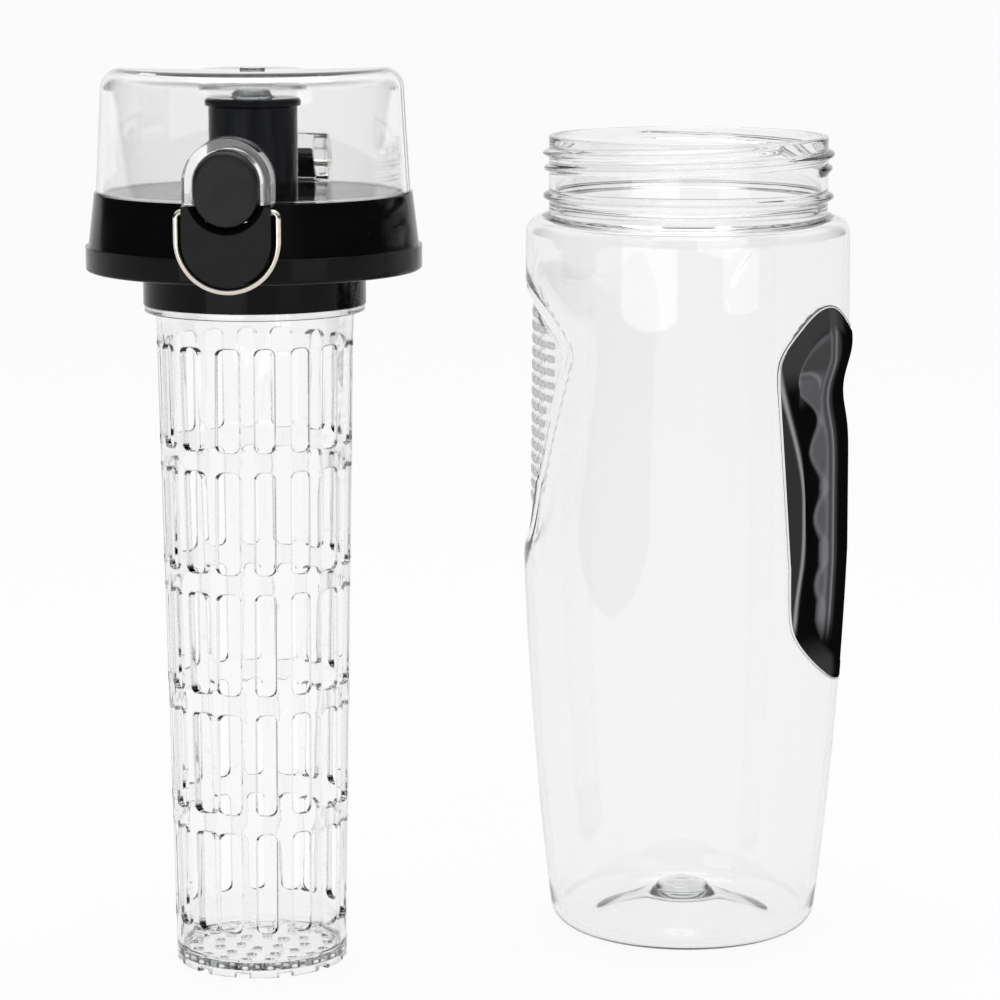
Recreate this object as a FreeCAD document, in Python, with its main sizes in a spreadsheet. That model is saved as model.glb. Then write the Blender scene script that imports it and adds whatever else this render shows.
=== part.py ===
"""Fruit infuser water bottle, shown taken apart: the bottle stands open, and beside it the
infuser basket stands with its collar screwed on and the flip-top lid resting on the collar.

Lengths are millimetres and angles degrees. The bottle's base centre is the origin, Z points up
and the front of the lid looks along -Y.
"""
import math
import os
import re

import FreeCAD
import Part
import Sketcher

SIZES = (
    # Where the pieces stand
    ("stand_side", 118.0, "infuser axis, to the left of the bottle axis"),
    ("stand_front", 36.0, "infuser axis, in front of the bottle axis"),
    ("bottle_turn", -8.0, "turn of the bottle about its own axis"),
    ("basket_turn", 20.0, "turn of the slot groups about the infuser axis"),
    ("lid_turn", -4.5, "turn of the lid about the infuser axis"),
    # Fits
    ("run_gap", 0.3, "air between pieces that move past each other"),
    ("seat_gap", 0.05, "air left where one piece rests on another"),
    ("pin_gap", 0.05, "air round a running pin, on the radius"),
    ("thread_gap", 0.4, "air between a thread crest and the wall it runs in"),
    # Bottle
    ("bottle_height", 224.0, "base to rim"),
    ("wall", 1.7, "wall of the blown bottle"),
    ("body_radius", 45.0, "body under the shoulder"),
    ("belly_radius", 45.5, "widest ring of the body"),
    ("belly_height", 109.0, "height of the widest ring"),
    ("side_bow", 1200.0, "radius of the gently bowed lower side"),
    ("heel_radius", 37.6, "body just above the heel corner"),
    ("heel_height", 5.6, "top of the heel corner"),
    ("heel_corner", 6.5, "corner between base and side"),
    ("foot_radius", 31.2, "outer edge of the standing ring"),
    ("ring_radius", 26.0, "inner edge of the standing ring"),
    ("push_radius", 8.6, "flat top of the base cone"),
    ("push_height", 7.5, "height of the base cone"),
    ("nub_radius", 7.6, "moulding nub on the bottle floor"),
    ("nub_height", 2.0, "height of the moulding nub"),
    ("nub_cap_radius", 4.8, "small disc on the nub"),
    ("nub_cap_height", 0.9, "height of the small disc"),
    ("shoulder_height", 202.8, "foot of the neck"),
    ("shoulder_corner", 5.0, "rounded corner of the shoulder"),
    ("shoulder_rise", 0.6, "slope of the shoulder up to the neck"),
    ("neck_radius", 38.65, "plain wall of the neck"),
    ("rim_round", 0.5, "rounding of the rim"),
    ("thread_reach", 1.8, "height of the bottle thread over the neck"),
    ("bead_drop", 16.6, "bead below the rim"),
    ("bead_reach", 1.6, "bead over the neck"),
    ("bead_root_half", 1.3, "half thickness of the bead at the neck"),
    ("bead_tip_half", 0.5, "half thickness of the bead at its edge"),
    # Grip recesses, one on each side of the bottle
    ("recess_depth", 2.2, "step of the recess into the body"),
    ("recess_top_half", 32.9, "half width at the upper corners"),
    ("recess_top_height", 167.0, "height of the upper corners"),
    ("recess_top_arc", 44.6, "arc over the top"),
    ("right_low_half", 28.3, "half width at the lower corners, grip side"),
    ("right_low_height", 98.2, "height of the lower corners, grip side"),
    ("right_low_arc", 28.6, "arc round the bottom, grip side"),
    ("left_low_half", 17.0, "half width at the lower corners, plain side"),
    ("left_low_height", 118.0, "height of the lower corners, plain side"),
    ("left_low_arc", 20.6, "arc round the bottom, plain side"),
    ("recess_corner", 5.0, "rounding of the outline corners"),
    # Rubber grip
    ("grip_gap", 0.1, "glue line under and round the grip"),
    ("grip_proud", 1.2, "grip over the body radius"),
    ("grip_hollow_height", 156.0, "middle of the thumb hollow"),
    ("grip_hollow_half", 10.0, "half height of the thumb hollow"),
    ("grip_hollow_arc", 22.0, "arc of the thumb hollow"),
    ("flute_inner", 14.5, "flute edge next to the spine"),
    ("flute_outer_low", 24.0, "flute edge next to the border, below"),
    ("flute_outer_top", 26.5, "flute edge next to the border, above"),
    ("flute_low_height", 93.0, "lower end of the flutes"),
    ("flute_top_height", 164.0, "upper end of the flutes"),
    ("flute_inset", 0.9, "flute floor below the body radius"),
    ("flute_corner", 3.5, "rounding of the flute corners"),
    # Infuser basket
    ("basket_height", 188.0, "foot to rim"),
    ("basket_wall", 1.5, "wall of the basket"),
    ("basket_neck", 6.5, "threaded neck over the flange"),
    ("basket_thread_reach", 1.3, "height of the basket thread over its neck"),
    ("flange_radius", 29.6, "flange under the neck"),
    ("flange_thickness", 1.8, "thickness of the flange"),
    ("basket_foot_radius", 23.4, "outside of the foot"),
    ("foot_height", 2.0, "foot ring below the floor"),
    ("foot_width", 2.4, "thickness of the foot ring"),
    ("foot_round", 1.0, "rounding of the foot"),
    ("floor_thickness", 1.8, "perforated floor"),
    ("floor_round", 2.0, "corner between floor and wall"),
    ("slot_width", 5.2, "width of a slot"),
    ("slot_length", 27.7, "height of a slot"),
    ("slot_corner", 1.9, "rounding of a slot end"),
    ("slot_first", 12.6, "lower end of the lowest slots"),
    ("slot_step", 32.9, "one row of slots to the next"),
    ("slot_rows", 5.0, "rows of slots"),
    ("slot_near", 4.8, "inner slots of a group from its middle"),
    ("slot_far", 13.7, "outer slots of a group from its middle"),
    ("drain_radius", 1.3, "holes in the floor"),
    ("drain_ring", 6.0, "first ring of holes, and the step to the next"),
    ("notch_width", 4.0, "notches in the foot ring"),
    ("notch_height", 1.4, "height of the notches"),
    # Collar that carries the basket in the bottle's mouth
    ("collar_wall", 1.6, "wall of the collar"),
    ("collar_slip", 0.3, "air between collar and bottle mouth"),
    ("collar_lower_radius", 29.9, "outside of the lower ring"),
    ("collar_lower_height", 15.8, "height of the lower ring"),
    ("collar_upper_height", 10.9, "height of the upper ring"),
    ("collar_ledge", 1.8, "thickness of the ledge between the rings"),
    ("collar_round", 2.5, "rounding under the upper ring"),
    ("lip_radius", 38.2, "lip that hangs on the bottle rim"),
    ("lip_thickness", 1.2, "thickness of the lip"),
    ("collar_seal_height", 1.3, "sealing ring under the lip"),
    # Lid base
    ("lid_height", 20.6, "deck to lower edge"),
    ("deck_thickness", 2.2, "thickness of the deck"),
    ("lid_top_radius", 42.5, "edge of the deck"),
    ("lid_low_radius", 44.2, "skirt above the lower band"),
    ("lid_band_radius", 45.0, "lower band"),
    ("lid_band_height", 6.5, "height of the lower band"),
    ("lid_edge_round", 1.0, "rounding of the lower edge"),
    ("lid_seal_inner", 35.4, "inside of the lid seal"),
    ("lid_seal_outer", 38.2, "outside of the lid seal"),
    ("lid_seal_height", 1.6, "thickness of the lid seal"),
    ("lid_seal_sink", 0.8, "depth of the seal's groove"),
    # Latch boss, button and wire bail at the front of the lid
    ("boss_half", 11.6, "half width of the boss"),
    ("boss_front", 49.0, "front of the boss from the lid axis"),
    ("button_half", 8.4, "half width of the button"),
    ("button_arch", 5.6, "centre of the button's upper arc over the deck"),
    ("button_heel", 3.0, "centre of the button's lower arc over the deck"),
    ("button_thick", 5.5, "thickness of the button"),
    ("button_proud", 0.8, "button in front of the boss"),
    ("button_round", 1.3, "rounding of the button's face"),
    ("button_room", 1.6, "room behind the button"),
    ("socket_gap", 0.35, "air round the button"),
    ("socket_bevel", 1.5, "bevel round the socket"),
    ("latch_pin_radius", 0.75, "pin of the button"),
    ("latch_pin_half", 10.4, "half length of that pin"),
    ("latch_pin_front", 46.2, "that pin from the lid axis"),
    ("latch_pin_drop", 4.0, "that pin below the deck"),
    ("bail_wire_radius", 0.85, "wire of the bail"),
    ("bail_half", 13.05, "half width of the bail, to the wire's centre"),
    ("bail_leg", 7.2, "straight leg from pivot to bend"),
    ("bail_bend", 1.5, "bend between leg and pivot stub"),
    ("bail_stub", 10.3, "inner end of the pivot stubs"),
    ("bail_front", 47.0, "pivot of the bail from the lid axis"),
    ("bail_drop", 1.6, "pivot of the bail below the deck"),
    ("latch_coil_radius", 0.95, "coil behind the button, to the wire's centre"),
    ("latch_wire_radius", 0.2, "wire of that coil"),
    ("latch_coil_drop", 1.3, "coil axis below the deck"),
    ("latch_bore_depth", 3.0, "bore for the coil in the button's back"),
    # Flip cover
    ("cover_height", 33.0, "dome over the deck"),
    ("cover_radius", 42.0, "dome at its lower edge"),
    ("cover_top_radius", 40.4, "dome under its upper corner"),
    ("cover_corner", 5.5, "upper corner of the dome"),
    ("cover_wall", 2.0, "wall of the dome"),
    ("cover_dish", 0.6, "dish of the dome's top"),
    ("gate_radius", 3.4, "gate nub on the dome"),
    ("gate_height", 0.5, "height of the gate nub"),
    ("hood_wall", 2.75, "wall of the arched hood over the button"),
    ("hood_front", 47.6, "front of the hood from the lid axis"),
    ("hood_back", 38.5, "inner end of the hood from the lid axis"),
    ("seat_ring_radius", 14.4, "ring under the dome that holds the spout seal"),
    ("seat_ring_height", 2.4, "height of that ring"),
    # Hinge at the back of the lid
    ("hinge_back", 46.6, "hinge pin from the lid axis"),
    ("hinge_height", 4.6, "hinge pin over the deck"),
    ("barrel_radius", 4.0, "hinge barrels"),
    ("post_half", 11.5, "half width of the black post"),
    ("post_drop", 11.0, "foot of the post below the deck"),
    ("post_toe", 5.5, "upright back of the post below the pin"),
    ("post_foot", 2.4, "foot of the post from the skirt"),
    ("lug_thick", 4.0, "clear hinge lugs"),
    ("lug_height", 13.0, "top of the lugs over the deck"),
    ("pin_radius", 1.0, "hinge pin"),
    ("spring_half", 4.2, "half width of the gap for the hinge spring"),
    ("spring_coil_radius", 2.3, "hinge spring, to the wire's centre"),
    ("spring_wire_radius", 0.4, "wire of the hinge spring"),
    ("spring_leg", 3.4, "legs of the hinge spring"),
    # Spout and its seal
    ("spout_height", 25.0, "rim over the deck"),
    ("spout_radius", 11.85, "outside of the spout"),
    ("spout_rim_radius", 12.8, "rolled rim"),
    ("spout_rim_height", 2.4, "height of the rim"),
    ("spout_wall", 2.0, "wall of the spout"),
    ("spout_mouth", 6.0, "drinking hole"),
    ("spout_roof", 1.6, "thickness round the drinking hole"),
    ("spout_foot_radius", 14.0, "flange under the deck"),
    ("spout_foot_height", 1.5, "thickness of that flange"),
    ("seal_radius", 13.2, "disc of the spout seal"),
    ("seal_thickness", 1.2, "thickness of that disc"),
    ("plug_neck_radius", 4.2, "plug of the spout seal under the disc"),
    ("plug_radius", 5.3, "plug at the spout rim, where it is widest"),
    ("plug_tip_radius", 4.3, "plug at its tip"),
    ("plug_reach", 2.6, "plug below the spout rim"),
)
DRAIN_RINGS = 3
NOTCHES = 12
GROUPS = 4
FULL_TURN = 360.0

doc = FreeCAD.newDocument("infuser_bottle")
sheet = doc.addObject("Spreadsheet::Sheet", "sizes")
for row, (alias, value, meaning) in enumerate(SIZES, start=1):
    sheet.set("A%d" % row, meaning)
    sheet.set("B%d" % row, repr(value))
    sheet.setAlias("B%d" % row, alias)
doc.recompute()

ALIASES = {alias for alias, value, meaning in SIZES}

# Sizes that follow from the ones above, as sums of their names
MOUTH = "(neck_radius - wall)"
SHOULDER_LOW = "(shoulder_height - shoulder_rise - shoulder_corner)"
COLLAR_BORE = "(collar_lower_radius - collar_wall)"
COLLAR_OUT = "(neck_radius - wall - collar_slip)"
COLLAR_HEIGHT = "(collar_lower_height + collar_upper_height)"
BASKET_OUT = "(collar_lower_radius - collar_wall - thread_gap - basket_thread_reach)"
BASKET_FLANGE = "(basket_height - basket_neck)"
LID_BORE = "(neck_radius + thread_reach + thread_gap)"
COLLAR_LEVEL = "(basket_height - basket_neck + seat_gap)"
LID_SEAL_LOW = "(deck_thickness - lid_seal_sink + lid_seal_height)"
LID_LEVEL = (
    "(basket_height - basket_neck + seat_gap + collar_lower_height + collar_upper_height"
    " + seat_gap + deck_thickness - lid_seal_sink + lid_seal_height)"
)
BUTTON_BACK = "(boss_front + button_proud - button_thick)"


def bound(text):
    """The expression of a sum of size names, each looked up in the sheet."""
    return re.sub(r"[a-z_]+", lambda word: "sizes." + word.group()
                  if word.group() in ALIASES else word.group(), text)


def size(text):
    """The present value of a sum of size names."""
    return float(sheet.evalExpression(text))


def plane_of(body, role):
    """The origin plane or axis of a body."""
    return [item for item in body.Origin.OriginFeatures if item.Role == role][0]


def new_body(name):
    """An empty body."""
    return doc.addObject("PartDesign::Body", name)


def new_sketch(body, role, shift=None):
    """A sketch on an origin plane of the body, moved along the plane's normal."""
    sketch = body.newObject("Sketcher::SketchObject", body.Name + "_sketch")
    sketch.AttachmentSupport = (plane_of(body, role), [""])
    sketch.MapMode = "FlatFace"
    if shift:
        sketch.setExpression("AttachmentOffset.Base.z", bound(shift))
    return sketch


def pin_down(sketch, kind, first, second, text):
    """Binds one coordinate of a sketch point to a sum of size names."""
    if text == "0":
        axis = -2 if kind == "DistanceX" else -1
        sketch.addConstraint(Sketcher.Constraint("PointOnObject", first, second, axis))
        return
    index = sketch.addConstraint(
        Sketcher.Constraint(kind, -1, 1, first, second, size(text)))
    sketch.setExpression("Constraints[%d]" % index, bound(text))


def outline(sketch, corners):
    """A closed outline. A corner is (x, y), or (x, y, turn, radius) where the way to the next
    corner is an arc that turns "left" or "right"."""
    points = [FreeCAD.Vector(size(corner[0]), size(corner[1]), 0) for corner in corners]
    ends = []
    for index, corner in enumerate(corners):
        start = points[index]
        end = points[(index + 1) % len(points)]
        if len(corner) == 2:
            number = sketch.addGeometry(Part.LineSegment(start, end))
            ends.append((number, 1, 2))
            continue
        chord = end - start
        radius = size(corner[3])
        across = FreeCAD.Vector(-chord.y, chord.x, 0).normalize()
        reach = math.sqrt(max(radius ** 2 - chord.Length ** 2 / 4, 0))
        side = 1 if corner[2] == "left" else -1
        centre = (start + end) / 2 + across * (reach * side)
        first, last = (start, end) if side > 0 else (end, start)
        angles = [math.atan2(spot.y - centre.y, spot.x - centre.x) for spot in (first, last)]
        circle = Part.Circle(centre, FreeCAD.Vector(0, 0, 1), radius)
        number = sketch.addGeometry(Part.ArcOfCircle(circle, angles[0], angles[1]))
        ends.append((number, 1, 2) if side > 0 else (number, 2, 1))
    for index, corner in enumerate(corners):
        number, start, end = ends[index]
        following = ends[(index + 1) % len(ends)]
        sketch.addConstraint(
            Sketcher.Constraint("Coincident", number, end, following[0], following[1]))
        pin_down(sketch, "DistanceX", number, start, corner[0])
        pin_down(sketch, "DistanceY", number, start, corner[1])
        if len(corner) == 4:
            place = sketch.addConstraint(
                Sketcher.Constraint("Radius", number, size(corner[3])))
            sketch.setExpression("Constraints[%d]" % place, bound(corner[3]))


def ring_line(sketch, x, y, radius):
    """A circle bound to the sheet."""
    middle = FreeCAD.Vector(size(x), size(y), 0)
    number = sketch.addGeometry(
        Part.Circle(middle, FreeCAD.Vector(0, 0, 1), size(radius)))
    pin_down(sketch, "DistanceX", number, 3, x)
    pin_down(sketch, "DistanceY", number, 3, y)
    place = sketch.addConstraint(Sketcher.Constraint("Radius", number, size(radius)))
    sketch.setExpression("Constraints[%d]" % place, bound(radius))


def turned(body, corners, kind="PartDesign::Revolution"):
    """A half section turned round the body's Z axis, added or taken away."""
    sketch = new_sketch(body, "XZ_Plane")
    outline(sketch, corners)
    feature = body.newObject(kind, body.Name + "_turned")
    feature.Profile = sketch
    feature.ReferenceAxis = (sketch, ["V_Axis"])
    feature.Angle = FULL_TURN
    return feature


def drawn(body, sketch, kind, length, reverse=False, both_ways=False):
    """A pad or pocket of a sketch."""
    feature = body.newObject(kind, body.Name + "_drawn")
    feature.Profile = sketch
    feature.setExpression("Length", bound(length))
    feature.Reversed = reverse
    feature.Midplane = both_ways
    return feature


def pad(body, sketch, length, reverse=False, both_ways=False):
    """Adds a prism of the sketch."""
    return drawn(body, sketch, "PartDesign::Pad", length, reverse, both_ways)


def pocket(body, sketch, length, reverse=False, both_ways=False):
    """Takes a prism of the sketch away."""
    return drawn(body, sketch, "PartDesign::Pocket", length, reverse, both_ways)


def round_edges(body, feature, wanted, radius):
    """Rounds the edges of a feature that the test picks."""
    doc.recompute()
    names = ["Edge%d" % (number + 1) for number, edge in enumerate(feature.Shape.Edges)
             if wanted(edge)]
    fillet = body.newObject("PartDesign::Fillet", body.Name + "_rounded")
    fillet.Base = (feature, names)
    fillet.setExpression("Radius", bound(radius))
    return fillet


def around(body, feature, count):
    """Repeats a feature round the body's Z axis."""
    pattern = body.newObject("PartDesign::PolarPattern", body.Name + "_ring")
    pattern.Originals = [feature]
    pattern.Axis = (plane_of(body, "Z_Axis"), [""])
    pattern.Angle = FULL_TURN
    pattern.Occurrences = count
    body.Tip = pattern
    return pattern


def joined(kind, name, first, second):
    """A boolean of two objects."""
    result = doc.addObject(kind, name)
    result.Base = first
    result.Tool = second
    return result


def stand(item, height=None, turn=None, beside=True):
    """Sets a finished piece in its place."""
    if beside:
        item.setExpression("Placement.Base.x", bound("-stand_side"))
        item.setExpression("Placement.Base.y", bound("-stand_front"))
    if height:
        item.setExpression("Placement.Base.z", bound(height))
    if turn:
        item.setExpression("Placement.Rotation.Angle", bound(turn) + " * 1 deg")
    return item


def is_straight(edge, direction):
    """True for a straight edge along the direction."""
    if not isinstance(edge.Curve, Part.Line):
        return False
    return edge.Curve.Direction.cross(direction).Length < edge.Length * 1e-9


# Bottle


def side_line(inset):
    """The bottle's side from heel to shoulder, moved inwards."""
    return [
        ("heel_radius - (%s)" % inset, "heel_height", "left", "side_bow - (%s)" % inset),
        ("belly_radius - (%s)" % inset, "belly_height"),
        ("body_radius - (%s)" % inset, SHOULDER_LOW),
    ]


def recess_outline(side, grow):
    """The shield outline of a grip recess, seen from the side, grown outwards."""
    half = "(%s_low_half + (%s))" % (side, grow)
    low = "%s_low_height" % side
    top = "(recess_top_half + (%s))" % grow
    return [
        ("-" + half, low, "left", "%s_low_arc + (%s)" % (side, grow)),
        (half, low),
        (top, "recess_top_height", "left", "recess_top_arc + (%s)" % grow),
        ("-" + top, "recess_top_height"),
    ]


def side_block(name, corners, inset, left=False, corner=None):
    """The part of a sideways prism that lies outside the inset side of the bottle."""
    body = new_body(name)
    sketch = new_sketch(body, "YZ_Plane")
    outline(sketch, corners)
    prism = pad(body, sketch, "body_radius + recess_depth * 2", reverse=left)
    if corner:
        along = FreeCAD.Vector(1, 0, 0)
        round_edges(body, prism, lambda edge: is_straight(edge, along), corner)
    core = [("0", "heel_height")] + side_line(inset) + [("0", SHOULDER_LOW)]
    turned(body, core, "PartDesign::Groove")
    return body


def bottle_outside():
    """The bottle as a full solid, neck and bead included."""
    body = new_body("bottle_outside")
    bead = "(bottle_height - bead_drop)"
    corners = [("0", "push_height"), ("push_radius", "push_height"), ("ring_radius", "0"),
               ("foot_radius", "0", "left", "heel_corner")]
    corners += side_line("0")[:2]
    corners += [
        ("body_radius", SHOULDER_LOW, "left", "shoulder_corner"),
        ("body_radius - shoulder_corner", "shoulder_height - shoulder_rise"),
        ("neck_radius", "shoulder_height"),
        ("neck_radius", bead + " - bead_root_half"),
        ("neck_radius + bead_reach", bead + " - bead_tip_half"),
        ("neck_radius + bead_reach", bead + " + bead_tip_half"),
        ("neck_radius", bead + " + bead_root_half"),
        ("neck_radius", "bottle_height - rim_round", "left", "rim_round"),
        ("neck_radius - rim_round", "bottle_height"),
        ("0", "bottle_height"),
    ]
    turned(body, corners)
    return body


def bottle_cavity():
    """The room inside the bottle, open past the rim."""
    body = new_body("bottle_cavity")
    floor = "(push_height + wall)"
    corners = [
        ("0", floor + " + nub_height + nub_cap_height"),
        ("nub_cap_radius", floor + " + nub_height + nub_cap_height"),
        ("nub_cap_radius", floor + " + nub_height"),
        ("nub_radius", floor + " + nub_height"),
        ("nub_radius", floor),
        ("push_radius", floor),
        ("ring_radius", "wall"),
        ("foot_radius", "wall", "left", "heel_corner - wall"),
    ]
    corners += side_line("wall")[:2]
    corners += [
        ("body_radius - wall", SHOULDER_LOW, "left", "shoulder_corner - wall"),
        ("body_radius - shoulder_corner", "shoulder_height - shoulder_rise - wall"),
        (MOUTH, "shoulder_height - wall"),
        (MOUTH, "bottle_height - rim_round", "right", "rim_round"),
        (MOUTH + " + rim_round", "bottle_height"),
        (MOUTH + " + rim_round", "bottle_height + rim_round"),
        ("0", "bottle_height + rim_round"),
    ]
    turned(body, corners)
    return body


def both(name, blocks):
    """Two blocks as one tool."""
    tool = doc.addObject("Part::MultiFuse", name)
    tool.Shapes = blocks
    return tool


def bottle_shell():
    """The clear bottle: one wall that steps in behind both grip recesses."""
    recesses = both("recesses", [
        side_block("right_recess", recess_outline("right", "0"), "recess_depth",
                   corner="recess_corner"),
        side_block("left_recess", recess_outline("left", "0"), "recess_depth", left=True,
                   corner="recess_corner"),
    ])
    behind = "recess_depth + wall"
    backings = both("backings", [
        side_block("right_backing", recess_outline("right", "wall"), behind,
                   corner="recess_corner + wall"),
        side_block("left_backing", recess_outline("left", "wall"), behind, left=True,
                   corner="recess_corner + wall"),
    ])
    scooped = joined("Part::Cut", "bottle_scooped", bottle_outside(), recesses)
    room = joined("Part::Cut", "bottle_room", bottle_cavity(), backings)
    return joined("Part::Cut", "bottle_shell", scooped, room)


def flute_outline(sign):
    """One finger flute beside the spine of the grip; the sign picks the side."""
    corners = [
        (sign + "flute_inner", "flute_low_height"),
        (sign + "flute_outer_low", "flute_low_height"),
        (sign + "flute_outer_top", "flute_top_height"),
        (sign + "flute_inner", "flute_top_height"),
    ]
    return corners if sign == "" else corners[::-1]


def right_grip():
    """The rubber grip: a pad in the recess with a spine, a thumb hollow and two flutes."""
    block = side_block("grip_block", recess_outline("right", "-grip_gap"),
                       "recess_depth - grip_gap", corner="recess_corner - grip_gap")
    envelope = new_body("grip_envelope")
    rim = "(body_radius + grip_proud)"
    turned(envelope, [
        ("0", "heel_height"),
        (rim, "heel_height"),
        (rim, "grip_hollow_height - grip_hollow_half", "right", "grip_hollow_arc"),
        (rim, "grip_hollow_height + grip_hollow_half"),
        (rim, SHOULDER_LOW),
        ("0", SHOULDER_LOW),
    ])
    flutes = both("flutes", [
        side_block("front_flute", flute_outline("-"), "flute_inset", corner="flute_corner"),
        side_block("back_flute", flute_outline(""), "flute_inset", corner="flute_corner"),
    ])
    limited = joined("Part::Common", "grip_limited", block, envelope)
    return joined("Part::Cut", "right_grip", limited, flutes)


# Infuser basket and collar


def slot_outline(middle):
    """A round-ended slot of the lowest row, its middle given across the wall."""
    left = "(%s) - slot_width / 2" % middle
    right = "(%s) + slot_width / 2" % middle
    top = "slot_first + slot_length"
    arc = ("left", "slot_corner")
    return [
        (left + " + slot_corner", "slot_first"),
        (right + " - slot_corner", "slot_first") + arc,
        (right, "slot_first + slot_corner"),
        (right, top + " - slot_corner") + arc,
        (right + " - slot_corner", top),
        (left + " + slot_corner", top) + arc,
        (left, top + " - slot_corner"),
        (left, "slot_first + slot_corner") + arc,
    ]


def infuser_basket():
    """The clear basket: flanged neck, tapered wall with rows of slots, perforated floor."""
    body = new_body("infuser_basket")
    neck = BASKET_OUT
    floor = "(foot_height + floor_thickness)"
    turned(body, [
        ("0", "foot_height"),
        ("basket_foot_radius - foot_width", "foot_height"),
        ("basket_foot_radius - foot_width", "0"),
        ("basket_foot_radius - foot_round", "0", "left", "foot_round"),
        ("basket_foot_radius", "foot_round"),
        (neck, BASKET_FLANGE + " - flange_thickness"),
        ("flange_radius", BASKET_FLANGE + " - flange_thickness"),
        ("flange_radius", BASKET_FLANGE),
        (neck, BASKET_FLANGE),
        (neck, "basket_height"),
        (neck + " - basket_wall", "basket_height"),
        (neck + " - basket_wall", BASKET_FLANGE + " - flange_thickness"),
        ("basket_foot_radius - basket_wall", floor + " + floor_round", "right", "floor_round"),
        ("basket_foot_radius - basket_wall - floor_round", floor),
        ("0", floor),
    ])
    for ring in range(1, DRAIN_RINGS + 1):
        hole = new_sketch(body, "XY_Plane")
        ring_line(hole, "drain_ring * %d" % ring, "0", "drain_radius")
        around(body, pocket(body, hole, floor + " + floor_round", reverse=True), 6 * ring)
    notch = new_sketch(body, "XZ_Plane")
    outline(notch, [
        ("-notch_width / 2", "0"),
        ("notch_width / 2", "0"),
        ("notch_width / 2", "notch_height"),
        ("-notch_width / 2", "notch_height"),
    ])
    around(body, pocket(body, notch, "flange_radius"), NOTCHES)
    slots = new_sketch(body, "XZ_Plane")
    for middle in ("-slot_far", "-slot_near", "slot_near", "slot_far"):
        outline(slots, slot_outline(middle))
    cut = pocket(body, slots, "flange_radius")
    grid = body.newObject("PartDesign::MultiTransform", "slot_grid")
    grid.Originals = [cut]
    rows = body.newObject("PartDesign::LinearPattern", "slot_rows_up")
    rows.Direction = (slots, ["V_Axis"])
    rows.setExpression("Length", bound("slot_step * (slot_rows - 1)"))
    rows.setExpression("Occurrences", bound("slot_rows"))
    groups = body.newObject("PartDesign::PolarPattern", "slot_groups")
    groups.Axis = (plane_of(body, "Z_Axis"), [""])
    groups.Angle = FULL_TURN
    groups.Occurrences = GROUPS
    grid.Transformations = [rows, groups]
    body.Tip = grid
    return stand(body, turn="basket_turn")


def collar():
    """The black two-step collar that screws on the basket and hangs in the bottle's mouth."""
    body = new_body("collar")
    turned(body, [
        (COLLAR_BORE, "0"),
        ("collar_lower_radius", "0"),
        ("collar_lower_radius", "collar_lower_height"),
        (COLLAR_OUT + " - collar_round", "collar_lower_height", "left", "collar_round"),
        (COLLAR_OUT, "collar_lower_height + collar_round"),
        (COLLAR_OUT, COLLAR_HEIGHT + " - lip_thickness"),
        ("lip_radius", COLLAR_HEIGHT + " - lip_thickness"),
        ("lip_radius", COLLAR_HEIGHT),
        (COLLAR_OUT + " - collar_wall", COLLAR_HEIGHT),
        (COLLAR_OUT + " - collar_wall", "collar_lower_height + collar_ledge"),
        (COLLAR_BORE, "collar_lower_height + collar_ledge"),
    ])
    return stand(body, COLLAR_LEVEL)


def band(name, inner, outer, low, high):
    """A plain ring of rectangular section."""
    body = new_body(name)
    turned(body, [(inner, low), (outer, low), (outer, high), (inner, high)])
    return body


def collar_seal():
    """The silicone ring under the collar's lip."""
    under = COLLAR_HEIGHT + " - lip_thickness - run_gap"
    body = band("collar_seal", COLLAR_OUT + " + run_gap", "lip_radius",
                under + " - collar_seal_height", under)
    return stand(body, COLLAR_LEVEL)


# Lid base


def on_lid(item):
    """Sets a piece of the lid in its place."""
    return stand(item, LID_LEVEL, "lid_turn")


def button_outline(grow):
    """The button seen from the front: two round ends of one radius."""
    half = "(button_half + (%s))" % grow
    arc = ("left", half)
    return [
        ("-" + half, "button_heel") + arc,
        ("0", "button_heel - " + half) + arc,
        (half, "button_heel"),
        (half, "button_arch") + arc,
        ("0", "button_arch + " + half) + arc,
        ("-" + half, "button_arch"),
    ]


def cross_hole(body, back, up, radius, length):
    """A hole along X through the body's middle."""
    hole = new_sketch(body, "YZ_Plane")
    ring_line(hole, back, up, radius)
    return pocket(body, hole, length, both_ways=True)


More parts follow.
